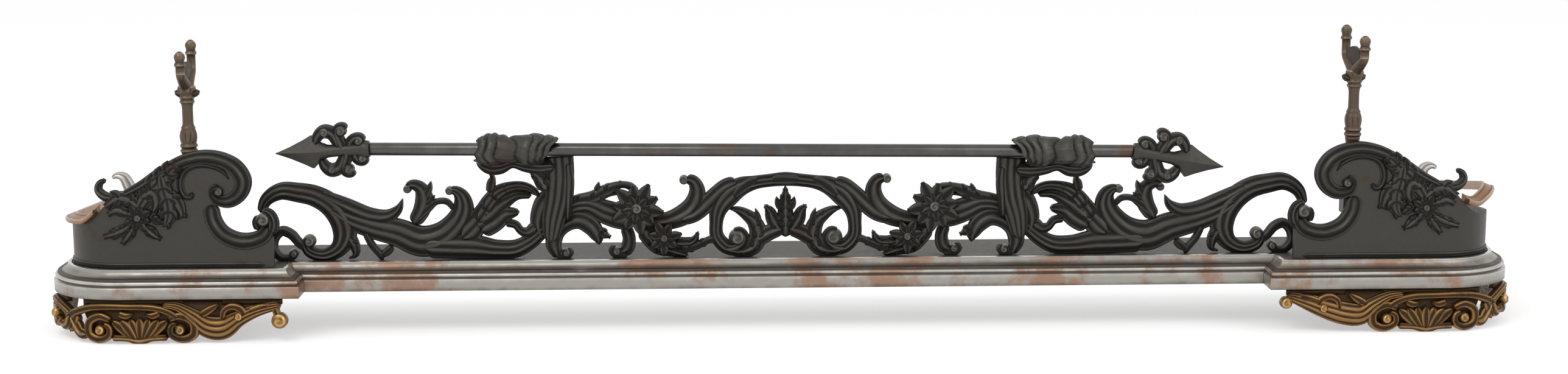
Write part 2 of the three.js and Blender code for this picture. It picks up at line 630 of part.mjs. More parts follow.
const lowerBorder = [[553, 62, 8], [551.5, 48, 8.2], [545, 35, 8.5], [532, 27, 8.3],
  [518, 27, 8], [506, 32, 7.5], [501, 42, 7]];
const topHook = [[632, 73, 5], [646, 70, 4.6], [658, 71, 4], [664.5, 77, 3.4], [661, 84, 2.2],
  [656, 84.5, 0.8]];

const sheetColumns = [cornerX - 4];
for (let i = 1; i <= 9; i += 1) sheetColumns.push(cornerX + i / 9 * (sideStart - cornerX));
sheetColumns.push(sideStart + 60, sideStart + 130, panelEnd);

// raised borders of the panel; grown by the seam they make room in what lies over them
const grown = (line, by) => line.map(([u, v, half]) => [u, v, half + by]);
const panelBorders = (by) => {
  const border = { back: panelThickness, front: -panelRelief - by, ridge: -1.6 };
  const low = { back: panelThickness, front: -panelRelief + 1.6 - by, ridge: -1.2 };
  return {
    upper: [ribbon(grown(volute, by), scrollPlace, border),
      ribbon(grown(innerRoll, by), scrollPlace, low), ribbon(grown(topHook, by), scrollPlace, low)],
    lower: [ribbon(lowerBorder, scrollPlace, low), eye([546, 75.5, 5], scrollPlace, border),
      eye([501, 46, 10], scrollPlace, border)],
  };
};

const endPanel = () => {
  const outline = sheetOutline.map(([u, v]) => new THREE.Vector2(atCorner(u), v));
  const sheet = new THREE.ExtrudeGeometry(
    new THREE.Shape(outline), { depth: panelThickness, bevelEnabled: false });
  sheet.rotateX(Math.PI / 2);
  sheet.translate(0, fasciaY + panelInset + panelThickness, plateTop);
  const wrapped = loft(sheetColumns.map((run) => [
    panelPlace(run, seam, 0), panelPlace(run, panelTop(run), 0),
    panelPlace(run, panelTop(run), panelThickness), panelPlace(run, seam, panelThickness),
  ]));
  const { upper, lower } = panelBorders(0);
  return join([solidOf(sheet), wrapped, ...upper, ...lower]);
};
both('end_panel', endPanel, castIron);

// garland: a flower with leaves that hang from the volute across the panel
const garland = () => {
  const back = -seam;
  const body = { back, front: back - 4, ridge: -2.4 };
  const low = { back, front: back - 3, ridge: -1.6 };
  const flower = { u: 623, v: 48 };
  const pieces = [];
  for (let i = 0; i < 5; i += 1) {
    const a = (i + 0.4) / 5 * Math.PI * 2;
    const spoke = (r, w) => [flower.u + r * Math.cos(a), flower.v + r * Math.sin(a), w];
    pieces.push(ribbon([spoke(2, 2.5), spoke(7, 4.5), spoke(13, 1)], scrollPlace, low));
  }
  pieces.push(eye([flower.u, flower.v, 4.5], scrollPlace, body));
  const leaves = [
    [[619, 54, 6], [606, 68, 8], [596, 78, 7], [590, 88, 2.5]],
    [[604, 70, 6], [594, 60, 7], [588, 47, 7.5], [593, 37, 1]],
    [[596, 76, 5], [586, 66, 5.5], [578, 55, 1]],
    [[628, 58, 5], [634, 65, 5.5], [641, 70, 1.5]],
    [[616, 40, 4], [609, 33, 4.5], [602, 28.5, 1]],
    [[625, 38, 4], [630, 31, 4], [633, 25.5, 1]],
    [[632, 43, 4], [642, 38, 4.5], [652, 34, 1]],
  ];
  pieces.push(...leaves.map((line) => ribbon(line, scrollPlace, low)));
  return join(pieces).subtract(join(panelBorders(seam).upper));
};
both('panel_garland', garland, castIron);

// ---------------------------------------------------------------- side cap rails
const capStart = cornerX + 23;         // the cap starts beside the panel's hooked tip
const capProud = 6;               // the cap overhangs the panel's face by this much
const capHeight = 9;
const rightCapSpring = 19;        // the right cap has sprung up off its panel at the corner
const springRun = cornerX + 85;   // where the sprung cap stands highest
const hookSeat = 16;              // the cap's last stretch, which carries the hook
const seatRun = panelEnd - hookSeat;
const capColumns = [capStart, ...sheetColumns.filter((run) => run > capStart + 2)];
capColumns.splice(-1, 0, seatRun);

const capRail = (side) => {
  const lift = (run) => {
    if (side === 'left') return 0;
    const rising = Math.sin(Math.min(1, (run - capStart) / (springRun - capStart)) * Math.PI / 2);
    const falling = (seatRun - run) / (seatRun - springRun);
    return rightCapSpring * Math.max(0, Math.min(rising, falling));
  };
  return loft(capColumns.map((run) => {
    const base = panelTop(run) + seam + lift(run);
    return [
      panelPlace(run, base, -capProud), panelPlace(run, base + 3.4, -capProud - 0.6),
      panelPlace(run, base + capHeight - 1.4, -1), panelPlace(run, base + capHeight, 2.4),
      panelPlace(run, base + capHeight - 1, panelThickness + 1.6),
      panelPlace(run, base, panelThickness + 1.6),
    ];
  }));
};
both('cap_rail', capRail, copperCap);

// broad leaf that curls outwards from the wall end of each cap rail
const hookFront = seatRun + 3;
const hookRear = panelEnd - 3;
both('rear_hook', () => {
  const place = (out, up, run) => panelPlace(
    run, panelTop(run) + capHeight + seam * 2 + up, panelThickness / 2 - out);
  const body = { back: hookRear, front: hookFront, ridge: 0 };
  const hook = ribbon([[-0.5, -2, 6.5], [2, 6, 6], [5, 12, 4.6], [9.5, 15, 3.2], [14, 13.8, 2.2],
    [16.5, 10.5, 1]], place, body);
  const underCap = loft([hookFront - 5, hookRear + 5].map((run) => [
    place(-30, 0, run), place(30, 0, run), place(30, -20, run), place(-30, -20, run)]));
  return hook.subtract(underCap);
}, paleSteel);

// ---------------------------------------------------------------- forked tool rests
const restFromCorner = { left: 67, right: 89 };
const restRaise = { left: 0, right: 8 };    // the right rest stands higher in its socket
const restYaw = { left: 3, right: 11.5 };   // degrees that the front prong turns outwards
const restBehind = 6.5;           // panel's back face to the rest's axis
const prongSpread = 20;           // shaft axis to each prong's axis
const prongRadius = 4.2;
const shankRadius = 4;
const socketClear = 0.4;
const restY = fasciaY + panelInset + panelThickness + restBehind + 2;
const restBase = plateTop + 72;   // top of the socket lug
const farProngRise = 7.5;         // the prong towards the wall is taller

const toolRest = (side) => {
  const z0 = restBase + restRaise[side];
  const shaft = turned([
    [0, -26], [shankRadius, -26], [shankRadius, 1], [6.4, 1.4], [6.6, 34], [8, 40],
    [7.8, 54], [5.2, 64], [5.1, 84], [7.2, 89.5], [6.2, 92], [8.6, 103], [0, 106],
  ], 8);
  const flat = (along, up, deep) => new THREE.Vector3(deep, along, up);
  const across = (along, up, deep) => new THREE.Vector3(along, deep, up);
  const body = { back: 3.6, front: -3.6, ridge: -0.8 };
  const pieces = [shaft];
  for (const way of [1, -1]) {
    const rise = way > 0 ? farProngRise : 0;
    pieces.push(ribbon([
      [0, 104, 6], [8 * way, 108, 6], [16 * way, 113, 5],
      [prongSpread * way, 119, 4], [prongSpread * way, 124, 4],
    ], flat, body));
    pieces.push(turned([
      [0, 118], [prongRadius, 118], [prongRadius, 125 + rise], [5.6, 126.5 + rise],
      [4.2, 129 + rise], [5.4, 133.5 + rise], [3.6, 138 + rise], [0, 139.5 + rise],
    ], 8, new THREE.Matrix4().makeTranslation(0, prongSpread * way, 0)));
  }
  pieces.push(ribbon([[0, 103, 7], [0, 114, 14], [0, 124, 16], [0, 127, 12]], flat,
    { back: 2.2, front: -2.2, ridge: 0 }));
  pieces.push(ribbon([[-12, 99, 2], [-7, 97, 4], [7, 97, 4], [12, 99, 2]], across,
    { back: 3, front: -3, ridge: 0 }));
  const whole = join(pieces);
  const yawed = whole.rotate([0, 0, restYaw[side]]);
  return yawed.translate([cornerX - restFromCorner[side], restY, z0]);
};
both('tool_rest', toolRest, brownBronze);

// bored lug on the back of each end panel that takes the rest's shank
both('rest_socket', (side) => {
  const x = cornerX - restFromCorner[side];
  const backY = fasciaY + panelInset + panelThickness + seam;
  const top = restBase - 0.1;
  const block = box(x - 9, x + 9, backY, restY + 8, top - 28, top);
  const bore = turned([[0, -60], [shankRadius + socketClear, -60],
    [shankRadius + socketClear, 20], [0, 20]], 12,
  new THREE.Matrix4().makeTranslation(x, restY, top));
  return block.subtract(bore);
}, castIron);

// ---------------------------------------------------------------- feet
const footThickness = 7;
const footRidge = 1.8;
const footEyeLift = 0.6;          // the rolled eyes stand this far in front of the scrolls
const footTop = footHeight - seam;
const footPlace = (u, v, deep) => {
  const [x, y] = around(atCorner(u), deep, cornerRadius);
  return new THREE.Vector3(x, y, v);
};
// scrolls of the apron foot as [run round the corner, above the hearth, half width, lift]
const footScrolls = [
  { lift: 0.5, line: [[700, 25, 4.5], [690, 29.5, 4], [673, 34.5, 3.6], [655, 36, 3.4],
    [634, 35.6, 3.2], [611, 34.5, 3.4], [597, 30.5, 3.6], [587, 24, 3.6]] },
  { lift: 0.4, line: [[652, 23, 3.4], [663, 26.5, 4], [675, 20, 4.5], [675, 8, 4.6],
    [664, 3.6, 4.3], [653.5, 9, 3.6]] },
  { lift: 0.4, line: [[597, 23, 3.4], [586, 26.5, 4], [573.5, 20, 4.5], [573.5, 8, 4.6],
    [584, 3.6, 4.3], [595.5, 9, 3.6]] },
  { lift: 0, line: [[652, 5.5, 3.4], [636, 4.5, 3.2], [625, 2.5, 5], [614, 4.5, 3.2],
    [598, 5.5, 3.4]] },
  { lift: 0, line: [[698, 24, 4], [693, 15, 6.5], [687, 8.5, 6], [679, 8, 5]] },
  // return of the apron along the side
  { lift: 0.4, line: [[700, 26, 4.5], [712, 31, 4], [730, 35, 4], [750, 34, 4], [768, 26, 6],
    [786, 13.5, 10.5], [804, 14, 10], [822, 27, 6.5], [846, 36, 4.5]] },
  { lift: 0.5, line: [[720, 29, 3.6], [733, 32.5, 4], [744, 26, 4.4], [742, 16, 4.4],
    [731, 13, 4.2], [723, 19, 3.6]] },
  { lift: 0, line: [[702, 24, 4], [707, 16, 6], [714, 13, 5], [722, 15, 4]] },
];
const footEyes = [[662, 13, 6], [587, 13, 6], [732, 22.5, 6]];
// the long leaf at the inner end, its curl and its hanging ball differ a little in the
// casting of the two sides
const footLeaf = {
  left: [
    { lift: 0, line: [[602, 37.5, 3.5], [588, 35, 5], [574, 26, 8], [560, 15.5, 11],
      [546, 14, 11.5], [530, 23, 8], [512, 31, 6.2], [489, 36.5, 4.2]] },
    { lift: 0.5, line: [[545, 23, 3], [543.5, 31, 3.4], [536, 35.5, 3.6], [527, 32.5, 4],
      [523.5, 26, 4]] },
    { lift: 0.5, line: [[495, 35, 4], [493, 28, 3.4], [491, 22, 4]] },
  ],
  right: [
    { lift: 0, line: [[602, 37.5, 3.5], [588, 35, 5], [574, 27, 8], [561, 17.5, 11],
      [546, 18, 11.5], [528, 23, 10.5], [511, 29, 8.5], [488, 36.5, 4.2]] },
    { lift: 0.5, line: [[539, 22, 3], [537.5, 31, 3.4], [530, 35.5, 3.6], [521, 32.5, 4],
      [517.5, 26, 4]] },
  ],
};
const footLeafEyes = {
  left: [[529.5, 25.5, 4.6], [490.5, 21, 8]],
  right: [[523.5, 24, 4.6], [487, 29.5, 6]],
};
const fanPetals = 5;
const fanMiddle = 624.5;

both('apron_foot', (side) => {
  const front = -footProud + footEyeLift + footRidge;
  const body = (lift) => ({ back: front + footThickness, front: front - lift, ridge: -footRidge });
  const scrolls = [...footScrolls, ...footLeaf[side]];
  const pieces = scrolls.map(({ line, lift }) => ribbon(line, footPlace, body(lift)));
  pieces.push(...[...footEyes, ...footLeafEyes[side]].map((spot) => (
    eye(spot, footPlace, body(footEyeLift)))));
  for (let i = 0; i < fanPetals; i += 1) {
    const lean = i - (fanPetals - 1) / 2;
    pieces.push(ribbon([
      [fanMiddle + lean * 5, 4, 3.4], [fanMiddle + lean * 8.5, 14, 5.2],
      [fanMiddle + lean * 11, 25 - Math.abs(lean) * 1.5, 2.2],
    ], footPlace, body(-0.6 - (i % 2) * 0.5)));
  }
  // flat flange behind the scrolls that is screwed up to the moulding
  const flange = (from, to) => {
    const rings = [];
    const count = Math.max(1, Math.round((to - from) / 28));
    for (let i = 0; i <= count; i += 1) {
      const run = from + (to - from) * i / count;
      rings.push([[0.4, 36], [8, 36], [8, footTop], [0.4, footTop]]
        .map(([deep, up]) => footPlace(run, up, deep)));
    }
    return loft(rings);
  };
  pieces.push(flange(488, 546), flange(583, 682), flange(708, 848));
  const whole = join(pieces);
  const trim = box(0, 2 * halfWidth, -overallDepth, overallDepth, -40, 0);
  const crop = box(0, 2 * halfWidth, -overallDepth, overallDepth, footTop, 100);
  return whole.subtract(trim).subtract(crop);
}, giltBrass);

// small turned foot under the wall end of each side
both('wall_foot', () => turned([
  [0, 0], [7, 0], [8.5, 4], [5, 20], [5.4, 32], [9, 38], [9, footTop], [0, footTop],
], 10, new THREE.Matrix4().makeTranslation(halfWidth - 9, rearY - 22, 0)), castIron);

fender.updateMatrixWorld(true);
export default fender;
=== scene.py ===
import math

import bmesh
import bpy
from mathutils import Matrix, Vector
from mathutils.geometry import tessellate_polygon


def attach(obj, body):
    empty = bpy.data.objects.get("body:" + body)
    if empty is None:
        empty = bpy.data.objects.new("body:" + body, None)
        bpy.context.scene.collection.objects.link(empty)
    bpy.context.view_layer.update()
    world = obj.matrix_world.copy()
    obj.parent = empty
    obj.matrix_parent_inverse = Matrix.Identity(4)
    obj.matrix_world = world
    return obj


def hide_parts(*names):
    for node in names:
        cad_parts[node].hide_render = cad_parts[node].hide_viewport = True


# Hearth fender: a pierced scroll fret, a rail in two leaf brackets, scroll end panels,
# gilt apron feet and a forked tool rest at each end. The sizes below are in millimetres.
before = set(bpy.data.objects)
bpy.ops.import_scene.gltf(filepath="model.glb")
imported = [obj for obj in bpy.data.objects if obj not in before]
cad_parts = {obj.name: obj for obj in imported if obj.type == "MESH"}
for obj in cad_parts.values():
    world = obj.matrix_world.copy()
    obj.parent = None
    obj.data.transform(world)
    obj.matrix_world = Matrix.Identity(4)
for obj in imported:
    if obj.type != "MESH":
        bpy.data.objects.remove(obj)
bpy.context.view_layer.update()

fender = {
    "fasciaY": -148.0, "rearY": 152.0, "halfWidth": 723.0,
    "cornerX": 644.0, "cornerRadius": 79.0,
    "centreY": -116.0, "blockInner": 471.0,
    "footHeight": 42.5, "mouldingHeight": 27.0, "plateTop": 69.5, "seam": 0.3,
}
rail = {"y": -110.0, "z": 178.2, "lean": 0.585, "diameter": 12.7, "bore": 10.4,
        "left": -404.0, "right": 340.0}
# run: the way along the front, round the corner and back along the side
panel = {"inset": 20.0, "thickness": 4.0, "rise": 74.0, "dip": 42.0, "rear": 26.0,
         "reference": 59.0, "topStart": 632.0, "topSteps": 70, "cornerSteps": 40}
sideStart = fender["cornerX"] + panel["reference"] * math.pi / 2
panelEnd = sideStart + fender["rearY"] - (fender["fasciaY"] + fender["cornerRadius"]) - 2
bothSides = (("left", -1), ("right", 1))
mm = 0.001


# small helpers for node trees
def addNode(tree, kind, links=None, **settings):
    node = tree.nodes.new(kind)
    for key, value in settings.items():
        setattr(node, key, value)
    for key, value in (links or {}).items():
        if isinstance(value, bpy.types.NodeSocket):
            tree.links.new(value, node.inputs[key])
        else:
            node.inputs[key].default_value = value
    return node


def calc(operation, *values):
    tree = next(v.id_data for v in values if isinstance(v, bpy.types.NodeSocket))
    return addNode(tree, "ShaderNodeMath", dict(enumerate(values)), operation=operation).outputs[0]


def plus(a, b):
    return calc("ADD", a, b)


def minus(a, b):
    return calc("SUBTRACT", a, b)


def times(a, b):
    return calc("MULTIPLY", a, b)


def over(a, b):
    return calc("DIVIDE", a, b)


def atLeast(a, b):
    return calc("MAXIMUM", a, b)


def atMost(a, b):
    return calc("MINIMUM", a, b)


def eased(value, low, high):
    return addNode(value.id_data, "ShaderNodeMapRange", {
        "Value": value, "From Min": low, "From Max": high},
        interpolation_type="SMOOTHSTEP").outputs[0]


def named(tree, name, kind="FLOAT"):
    return addNode(tree, "GeometryNodeInputNamedAttribute", {"Name": name},
                   data_type=kind).outputs[0]


def parts(tree, name):
    return addNode(tree, "ShaderNodeSeparateXYZ", {0: named(tree, name, "FLOAT_VECTOR")}).outputs


def newGroup(name, kind, inputs, outputs):
    tree = bpy.data.node_groups.new(name, kind)
    for way, sockets in (("INPUT", inputs), ("OUTPUT", outputs)):
        for label, socketKind, *value in sockets:
            socket = tree.interface.new_socket(
                name=label, in_out=way, socket_type="NodeSocket" + socketKind)
            if value:
                socket.default_value = value[0]
    return tree, addNode(tree, "NodeGroupInput").outputs


# Finishes. Castings carry a "groove" value: 1 in a groove, -1 on a ridge, 0 elsewhere. The finishes
# paint shade where it is high and a highlight where it is low, on top of real wear and grime from
# noise.
def objectNoise(tree, scale, detail, roughness=0.5, stretch=(1.0, 1.0, 1.0)):
    spot = addNode(tree, "ShaderNodeTexCoord").outputs["Object"]
    place = addNode(tree, "ShaderNodeMapping", {"Vector": spot, "Scale": stretch})
    return addNode(tree, "ShaderNodeTexNoise", {
        "Vector": place.outputs[0], "Scale": scale, "Detail": detail,
        "Roughness": roughness}).outputs[0]


def makeWearAndLightGroup():
    tree, inside = newGroup(
        "rubbedGrimyAndPaintedLight", "ShaderNodeTree",
        [("Scale", "Float", 60.0), ("Unevenness", "Float", 0.6)],
        [("Rubbed", "Float"), ("Grime", "Float")])
    groove = addNode(tree, "ShaderNodeAttribute", attribute_name="groove").outputs["Fac"]
    fine = objectNoise(tree, inside["Scale"], 5.0)
    broad = objectNoise(tree, 14.0, 3.0)
    mixed = plus(times(fine, 0.6), times(broad, 0.4))
    drift = times(times(minus(mixed, 0.5), inside["Unevenness"]), 2.0)
    # Rubbed: real wear from noise plus a painted highlight on ridges; Grime: real grime from noise
    # plus painted shade in grooves
    addNode(tree, "NodeGroupOutput", {
        "Rubbed": eased(minus(drift, groove), 0.1, 1.25),
        "Grime": eased(plus(drift, groove), 0.1, 0.95)})
    return tree


def makePatchGroup():
    tree, inside = newGroup(
        "stainPatches", "ShaderNodeTree",
        [("Scale", "Float", 12.0), ("Cover", "Float", 0.3)], [("Mask", "Float")])
    broad = objectNoise(tree, inside["Scale"], 6.0, 0.65)
    edge = minus(0.72, times(inside["Cover"], 0.4))
    addNode(tree, "NodeGroupOutput", {"Mask": eased(minus(broad, edge), 0.0, 0.1)})
    return tree


def makeGrainGroup():
    tree, inside = newGroup(
        "metalGrain", "ShaderNodeTree",
        [("Scale", "Float", 300.0), ("Stretch", "Vector", (1.0, 1.0, 1.0))],
        [("Grain", "Float")])
    grain = objectNoise(tree, inside["Scale"], 4.0, stretch=inside["Stretch"])
    addNode(tree, "NodeGroupOutput", {"Grain": grain})
    return tree


wearAndLightGroup = makeWearAndLightGroup()
patchGroup = makePatchGroup()
grainGroup = makeGrainGroup()

# each finish: base colour, a rubbed colour that is also the painted highlight, a grime colour that
# is also the painted shade, real stain colour and surface settings
finishes = {
    "cast_iron": {
        "base": (0.047, 0.043, 0.037), "rubbedAndHighlight": (0.20, 0.19, 0.165),
        "grimeAndShade": (0.006, 0.006, 0.005), "stain": (0.060, 0.040, 0.030),
        "cover": 0.4, "stainScale": 16.0, "metallic": 0.7,
        "rough": (0.32, 0.56), "grainScale": 260.0, "stretch": (1, 1, 1), "bump": 0.25},
    "bright_steel": {
        "base": (0.315, 0.30, 0.27), "rubbedAndHighlight": (0.64, 0.63, 0.59),
        "grimeAndShade": (0.075, 0.058, 0.044), "stain": (0.30, 0.160, 0.095),
        "cover": 0.52, "stainScale": 11.0, "metallic": 0.85,
        "rough": (0.24, 0.46), "grainScale": 90.0, "stretch": (0.25, 3, 3), "bump": 0.1},
    "black_plate": {
        "base": (0.080, 0.071, 0.060), "rubbedAndHighlight": (0.13, 0.12, 0.105),
        "grimeAndShade": (0.03, 0.026, 0.022), "stain": (0.095, 0.062, 0.044),
        "cover": 0.4, "stainScale": 9.0, "metallic": 0.5,
        "rough": (0.45, 0.65), "grainScale": 160.0, "stretch": (1, 1, 1), "bump": 0.12},
    "rail_steel": {
        "base": (0.062, 0.060, 0.056), "rubbedAndHighlight": (0.17, 0.165, 0.155),
        "grimeAndShade": (0.03, 0.026, 0.022), "stain": (0.105, 0.066, 0.046),
        "cover": 0.45, "stainScale": 20.0, "metallic": 0.9,
        "rough": (0.20, 0.38), "grainScale": 120.0, "stretch": (0.2, 4, 4), "bump": 0.06},
    "copper_cap": {
        "base": (0.285, 0.150, 0.080), "rubbedAndHighlight": (0.44, 0.37, 0.30),
        "grimeAndShade": (0.10, 0.052, 0.032), "stain": (0.34, 0.26, 0.20),
        "cover": 0.4, "stainScale": 12.0, "metallic": 0.85,
        "rough": (0.28, 0.45), "grainScale": 120.0, "stretch": (2, 0.4, 2), "bump": 0.08},
    "pale_steel": {
        "base": (0.54, 0.53, 0.51), "rubbedAndHighlight": (0.70, 0.69, 0.67),
        "grimeAndShade": (0.20, 0.165, 0.14), "stain": (0.34, 0.25, 0.19),
        "cover": 0.2, "stainScale": 30.0, "metallic": 0.85,
        "rough": (0.28, 0.42), "grainScale": 200.0, "stretch": (1, 1, 1), "bump": 0.1},
    "brown_bronze": {
        "base": (0.090, 0.064, 0.044), "rubbedAndHighlight": (0.31, 0.235, 0.155),
        "grimeAndShade": (0.022, 0.014, 0.009), "stain": (0.07, 0.06, 0.045),
        "cover": 0.35, "stainScale": 24.0, "metallic": 0.8,
        "rough": (0.32, 0.52), "grainScale": 220.0, "stretch": (1, 1, 1), "bump": 0.15},
    "gilt_brass": {
        "base": (0.235, 0.122, 0.040), "rubbedAndHighlight": (0.74, 0.47, 0.18),
        "grimeAndShade": (0.018, 0.012, 0.008), "stain": (0.070, 0.050, 0.032),
        "cover": 0.5, "stainScale": 22.0, "metallic": 0.85,
        "rough": (0.26, 0.48), "grainScale": 240.0, "stretch": (1, 1, 1), "bump": 0.2},
}


def makeFinish(name, look):
    material = bpy.data.materials.new(name)
    material.use_nodes = True
    tree = material.node_tree
    tree.nodes.clear()
    wearAndLight = addNode(tree, "ShaderNodeGroup", node_tree=wearAndLightGroup).outputs
    patch = addNode(tree, "ShaderNodeGroup", node_tree=patchGroup)
    patch.inputs["Scale"].default_value = look["stainScale"]
    patch.inputs["Cover"].default_value = look["cover"]
    patches = patch.outputs["Mask"]
    grain = addNode(tree, "ShaderNodeGroup", node_tree=grainGroup)
    grain.inputs["Scale"].default_value = look["grainScale"]
    grain.inputs["Stretch"].default_value = look["stretch"]
    grains = grain.outputs["Grain"]

    def blend(mask, share, below, above):
        below = (*below, 1.0) if isinstance(below, tuple) else below
        return addNode(tree, "ShaderNodeMix", {
            0: times(mask, share), 6: below, 7: (*above, 1.0)}, data_type="RGBA").outputs[2]

    # painted highlight on ridges, together with real rubbed wear
    colour = blend(wearAndLight["Rubbed"], 1.0, look["base"], look["rubbedAndHighlight"])
    colour = blend(grains, 0.1, colour, look["rubbedAndHighlight"])
    colour = blend(patches, 0.75, colour, look["stain"])
    # painted shade in grooves, together with real grime
    colour = blend(wearAndLight["Grime"], 0.9, colour, look["grimeAndShade"])
    low, high = look["rough"]
    rough = plus(low, times(grains, high - low))
    for mask, share in ((wearAndLight["Grime"], 0.18), (patches, 0.10), (wearAndLight["Rubbed"], -0.08)):
        rough = plus(rough, times(mask, share))
    bump = addNode(tree, "ShaderNodeBump", {
        "Height": grains, "Strength": look["bump"], "Distance": 0.0006})
    shader = addNode(tree, "ShaderNodeBsdfPrincipled", {
        "Base Color": colour, "Roughness": rough, "Metallic": look["metallic"],
        "Normal": bump.outputs[0]})
    addNode(tree, "ShaderNodeOutputMaterial", {"Surface": shader.outputs[0]})
    return material


finish = {name: makeFinish(name, look) for name, look in finishes.items()}
print("finishes:", len(finish))


# Geometry Nodes: carved scrolls and rolled eyes, laid flat or round the corner
placeInputs = ("Corner", "Corner Radius", "Reference", "Inset", "Face", "Base", "Side")


def makePlaceGroup():
    tree, inside = newGroup(
        "setOnFender", "GeometryNodeTree",
        [(label, "Float") for label in ("Run", "Up", "Deep", *placeInputs)],
        [("Place", "Vector")])
    turn = over(minus(inside["Run"], inside["Corner"]), inside["Reference"])
    bent = atLeast(atMost(turn, math.pi / 2), 0.0)
    beyond = atLeast(minus(turn, math.pi / 2), 0.0)
    radius = minus(minus(inside["Corner Radius"], inside["Inset"]), inside["Deep"])
    x = plus(atMost(inside["Run"], inside["Corner"]), times(radius, calc("SINE", bent)))
    y = minus(plus(inside["Face"], inside["Corner Radius"]), times(radius, calc("COSINE", bent)))
    place = addNode(tree, "ShaderNodeCombineXYZ", {
        0: times(x, inside["Side"]), 1: plus(y, times(beyond, inside["Reference"])),
        2: plus(inside["Base"], inside["Up"])})
    addNode(tree, "NodeGroupOutput", {"Place": place.outputs[0]})
    return tree


placeGroup = makePlaceGroup()


def openTree(name, extra):
    inputs = [("Geometry", "Geometry"), *extra, *((label, "Float", 0.0) for label in placeInputs),
              ("Back", "Float", 0.0), ("Finish", "Material")]
    return newGroup(name, "GeometryNodeTree", inputs, [("Geometry", "Geometry")])


def closeTree(tree, inside, geometry, run, up, height, groove):
    place = addNode(tree, "GeometryNodeGroup", node_tree=placeGroup)
    links = {"Run": run, "Up": up, "Deep": minus(inside["Back"], height)}
    links.update({label: inside[label] for label in placeInputs})
    for key, value in links.items():
        tree.links.new(value, place.inputs[key])
    marked = addNode(tree, "GeometryNodeStoreNamedAttribute", {
        "Geometry": geometry, "Name": "groove", "Value": groove}, domain="POINT")
    placed = addNode(tree, "GeometryNodeSetPosition", {
        "Geometry": marked.outputs[0], "Position": place.outputs[0]})
    smooth = addNode(tree, "GeometryNodeSetShadeSmooth", {"Geometry": placed.outputs[0]})
    real = addNode(tree, "GeometryNodeRealizeInstances", {"Geometry": smooth.outputs[0]})
    done = addNode(tree, "GeometryNodeSetMaterial", {
        "Geometry": real.outputs[0], "Material": inside["Finish"]})
    addNode(tree, "NodeGroupOutput", {"Geometry": done.outputs[0]})


def makeScrollTree():
    tree, inside = openTree("carvedScroll", [("Section Points", "Int", 40)])
    front = 0.8                     # share of the section's points on the carved face
    curve = addNode(tree, "GeometryNodeMeshToCurve", {"Mesh": inside["Geometry"]})
    ring = addNode(tree, "GeometryNodeCurvePrimitiveCircle", {
        "Resolution": inside["Section Points"], "Radius": mm})
    factor = addNode(tree, "GeometryNodeSplineParameter").outputs["Factor"]
    ring = addNode(tree, "GeometryNodeStoreNamedAttribute", {
        "Geometry": ring.outputs[0], "Name": "turn", "Value": factor}, domain="POINT")
    swept = addNode(tree, "GeometryNodeCurveToMesh", {
        "Curve": curve.outputs[0], "Profile Curve": ring.outputs[0], "Fill Caps": True})
    turn = named(tree, "turn")
    onFace = atMost(over(turn, front), 1.0)
    onBack = atLeast(over(minus(turn, front), 1 - front), 0.0)
    across = calc("COSINE", times(plus(onFace, onBack), math.pi))
    edge = calc("POWER", atLeast(calc("SINE", times(onFace, math.pi)), 0.0), 0.4)
    right = named(tree, "halfRight")
    wider = minus(named(tree, "halfLeft"), right)
    off = times(across, plus(right, times(calc("GREATER_THAN", across, 0.0), wider)))
    phase = times(plus(across, 1.0), times(named(tree, "reeds"), math.pi / 2))
    pattern = calc("ABSOLUTE", calc("SINE", phase))
    relief = named(tree, "relief")
    crown = times(named(tree, "crown"), minus(1.0, times(across, across)))
    height = times(edge, plus(plus(named(tree, "body"), crown), times(relief, pattern)))
    centre, leftWay = parts(tree, "centre"), parts(tree, "leftWay")
    run = plus(centre[0], times(leftWay[0], off))
    up = plus(centre[2], times(leftWay[2], off))
    # groove value: painted shade in the cut of the reeds and towards the stroke's edges, painted
    # highlight on what stands up
    groove = times(minus(1.0, times(pattern, 2.0)), calc("SIGN", relief))
    groove = atLeast(groove, atMost(times(minus(0.85, edge), 2.0), 0.6))
    closeTree(tree, inside, swept.outputs[0], run, up, height, groove)
    return tree


def makeEyeTree():
    tree, inside = openTree("rolledEye", [("Segments", "Int", 28), ("Rings", "Int", 14)])
    ball = addNode(tree, "GeometryNodeMeshUVSphere", {
        "Segments": inside["Segments"], "Rings": inside["Rings"], "Radius": 1.0})
    ball = addNode(tree, "GeometryNodeStoreNamedAttribute", {
        "Geometry": ball.outputs[0], "Name": "local",
        "Value": addNode(tree, "GeometryNodeInputPosition").outputs[0]},
        domain="POINT", data_type="FLOAT_VECTOR")
    points = addNode(tree, "GeometryNodeInstanceOnPoints", {
        "Points": inside["Geometry"], "Instance": ball.outputs[0]})
    real = addNode(tree, "GeometryNodeRealizeInstances", {"Geometry": points.outputs[0]})
    local, centre = parts(tree, "local"), parts(tree, "centre")
    radius = named(tree, "radius")
    out = calc("SQRT", plus(times(local[0], local[0]), times(local[1], local[1])))
    rise = atLeast(local[2], 0.0)
    way = over(calc("ARCTAN2", local[1], local[0]), 2 * math.pi)
    pattern = calc("ABSOLUTE", calc("SINE", times(plus(times(out, 1.5), way), math.pi)))
    spread = atMost(times(out, 2.5), 1.0)
    carved = times(times(pattern, spread), named(tree, "relief"))
    dome = times(named(tree, "crown"), rise)
    height = times(calc("POWER", rise, 0.4), plus(plus(named(tree, "body"), dome), carved))
    run = plus(centre[0], times(local[0], radius))
    up = plus(centre[2], times(local[1], radius))
    # groove value: painted shade in the spiral's cut, painted highlight on its ridges and at the
    # middle of the eye
    groove = times(spread, minus(0.8, times(pattern, 1.7)))
    groove = plus(groove, times(minus(1.0, spread), -0.3))
    closeTree(tree, inside, real.outputs[0], run, up, height, groove)
    return tree


scrollTree = makeScrollTree()
eyeTree = makeEyeTree()


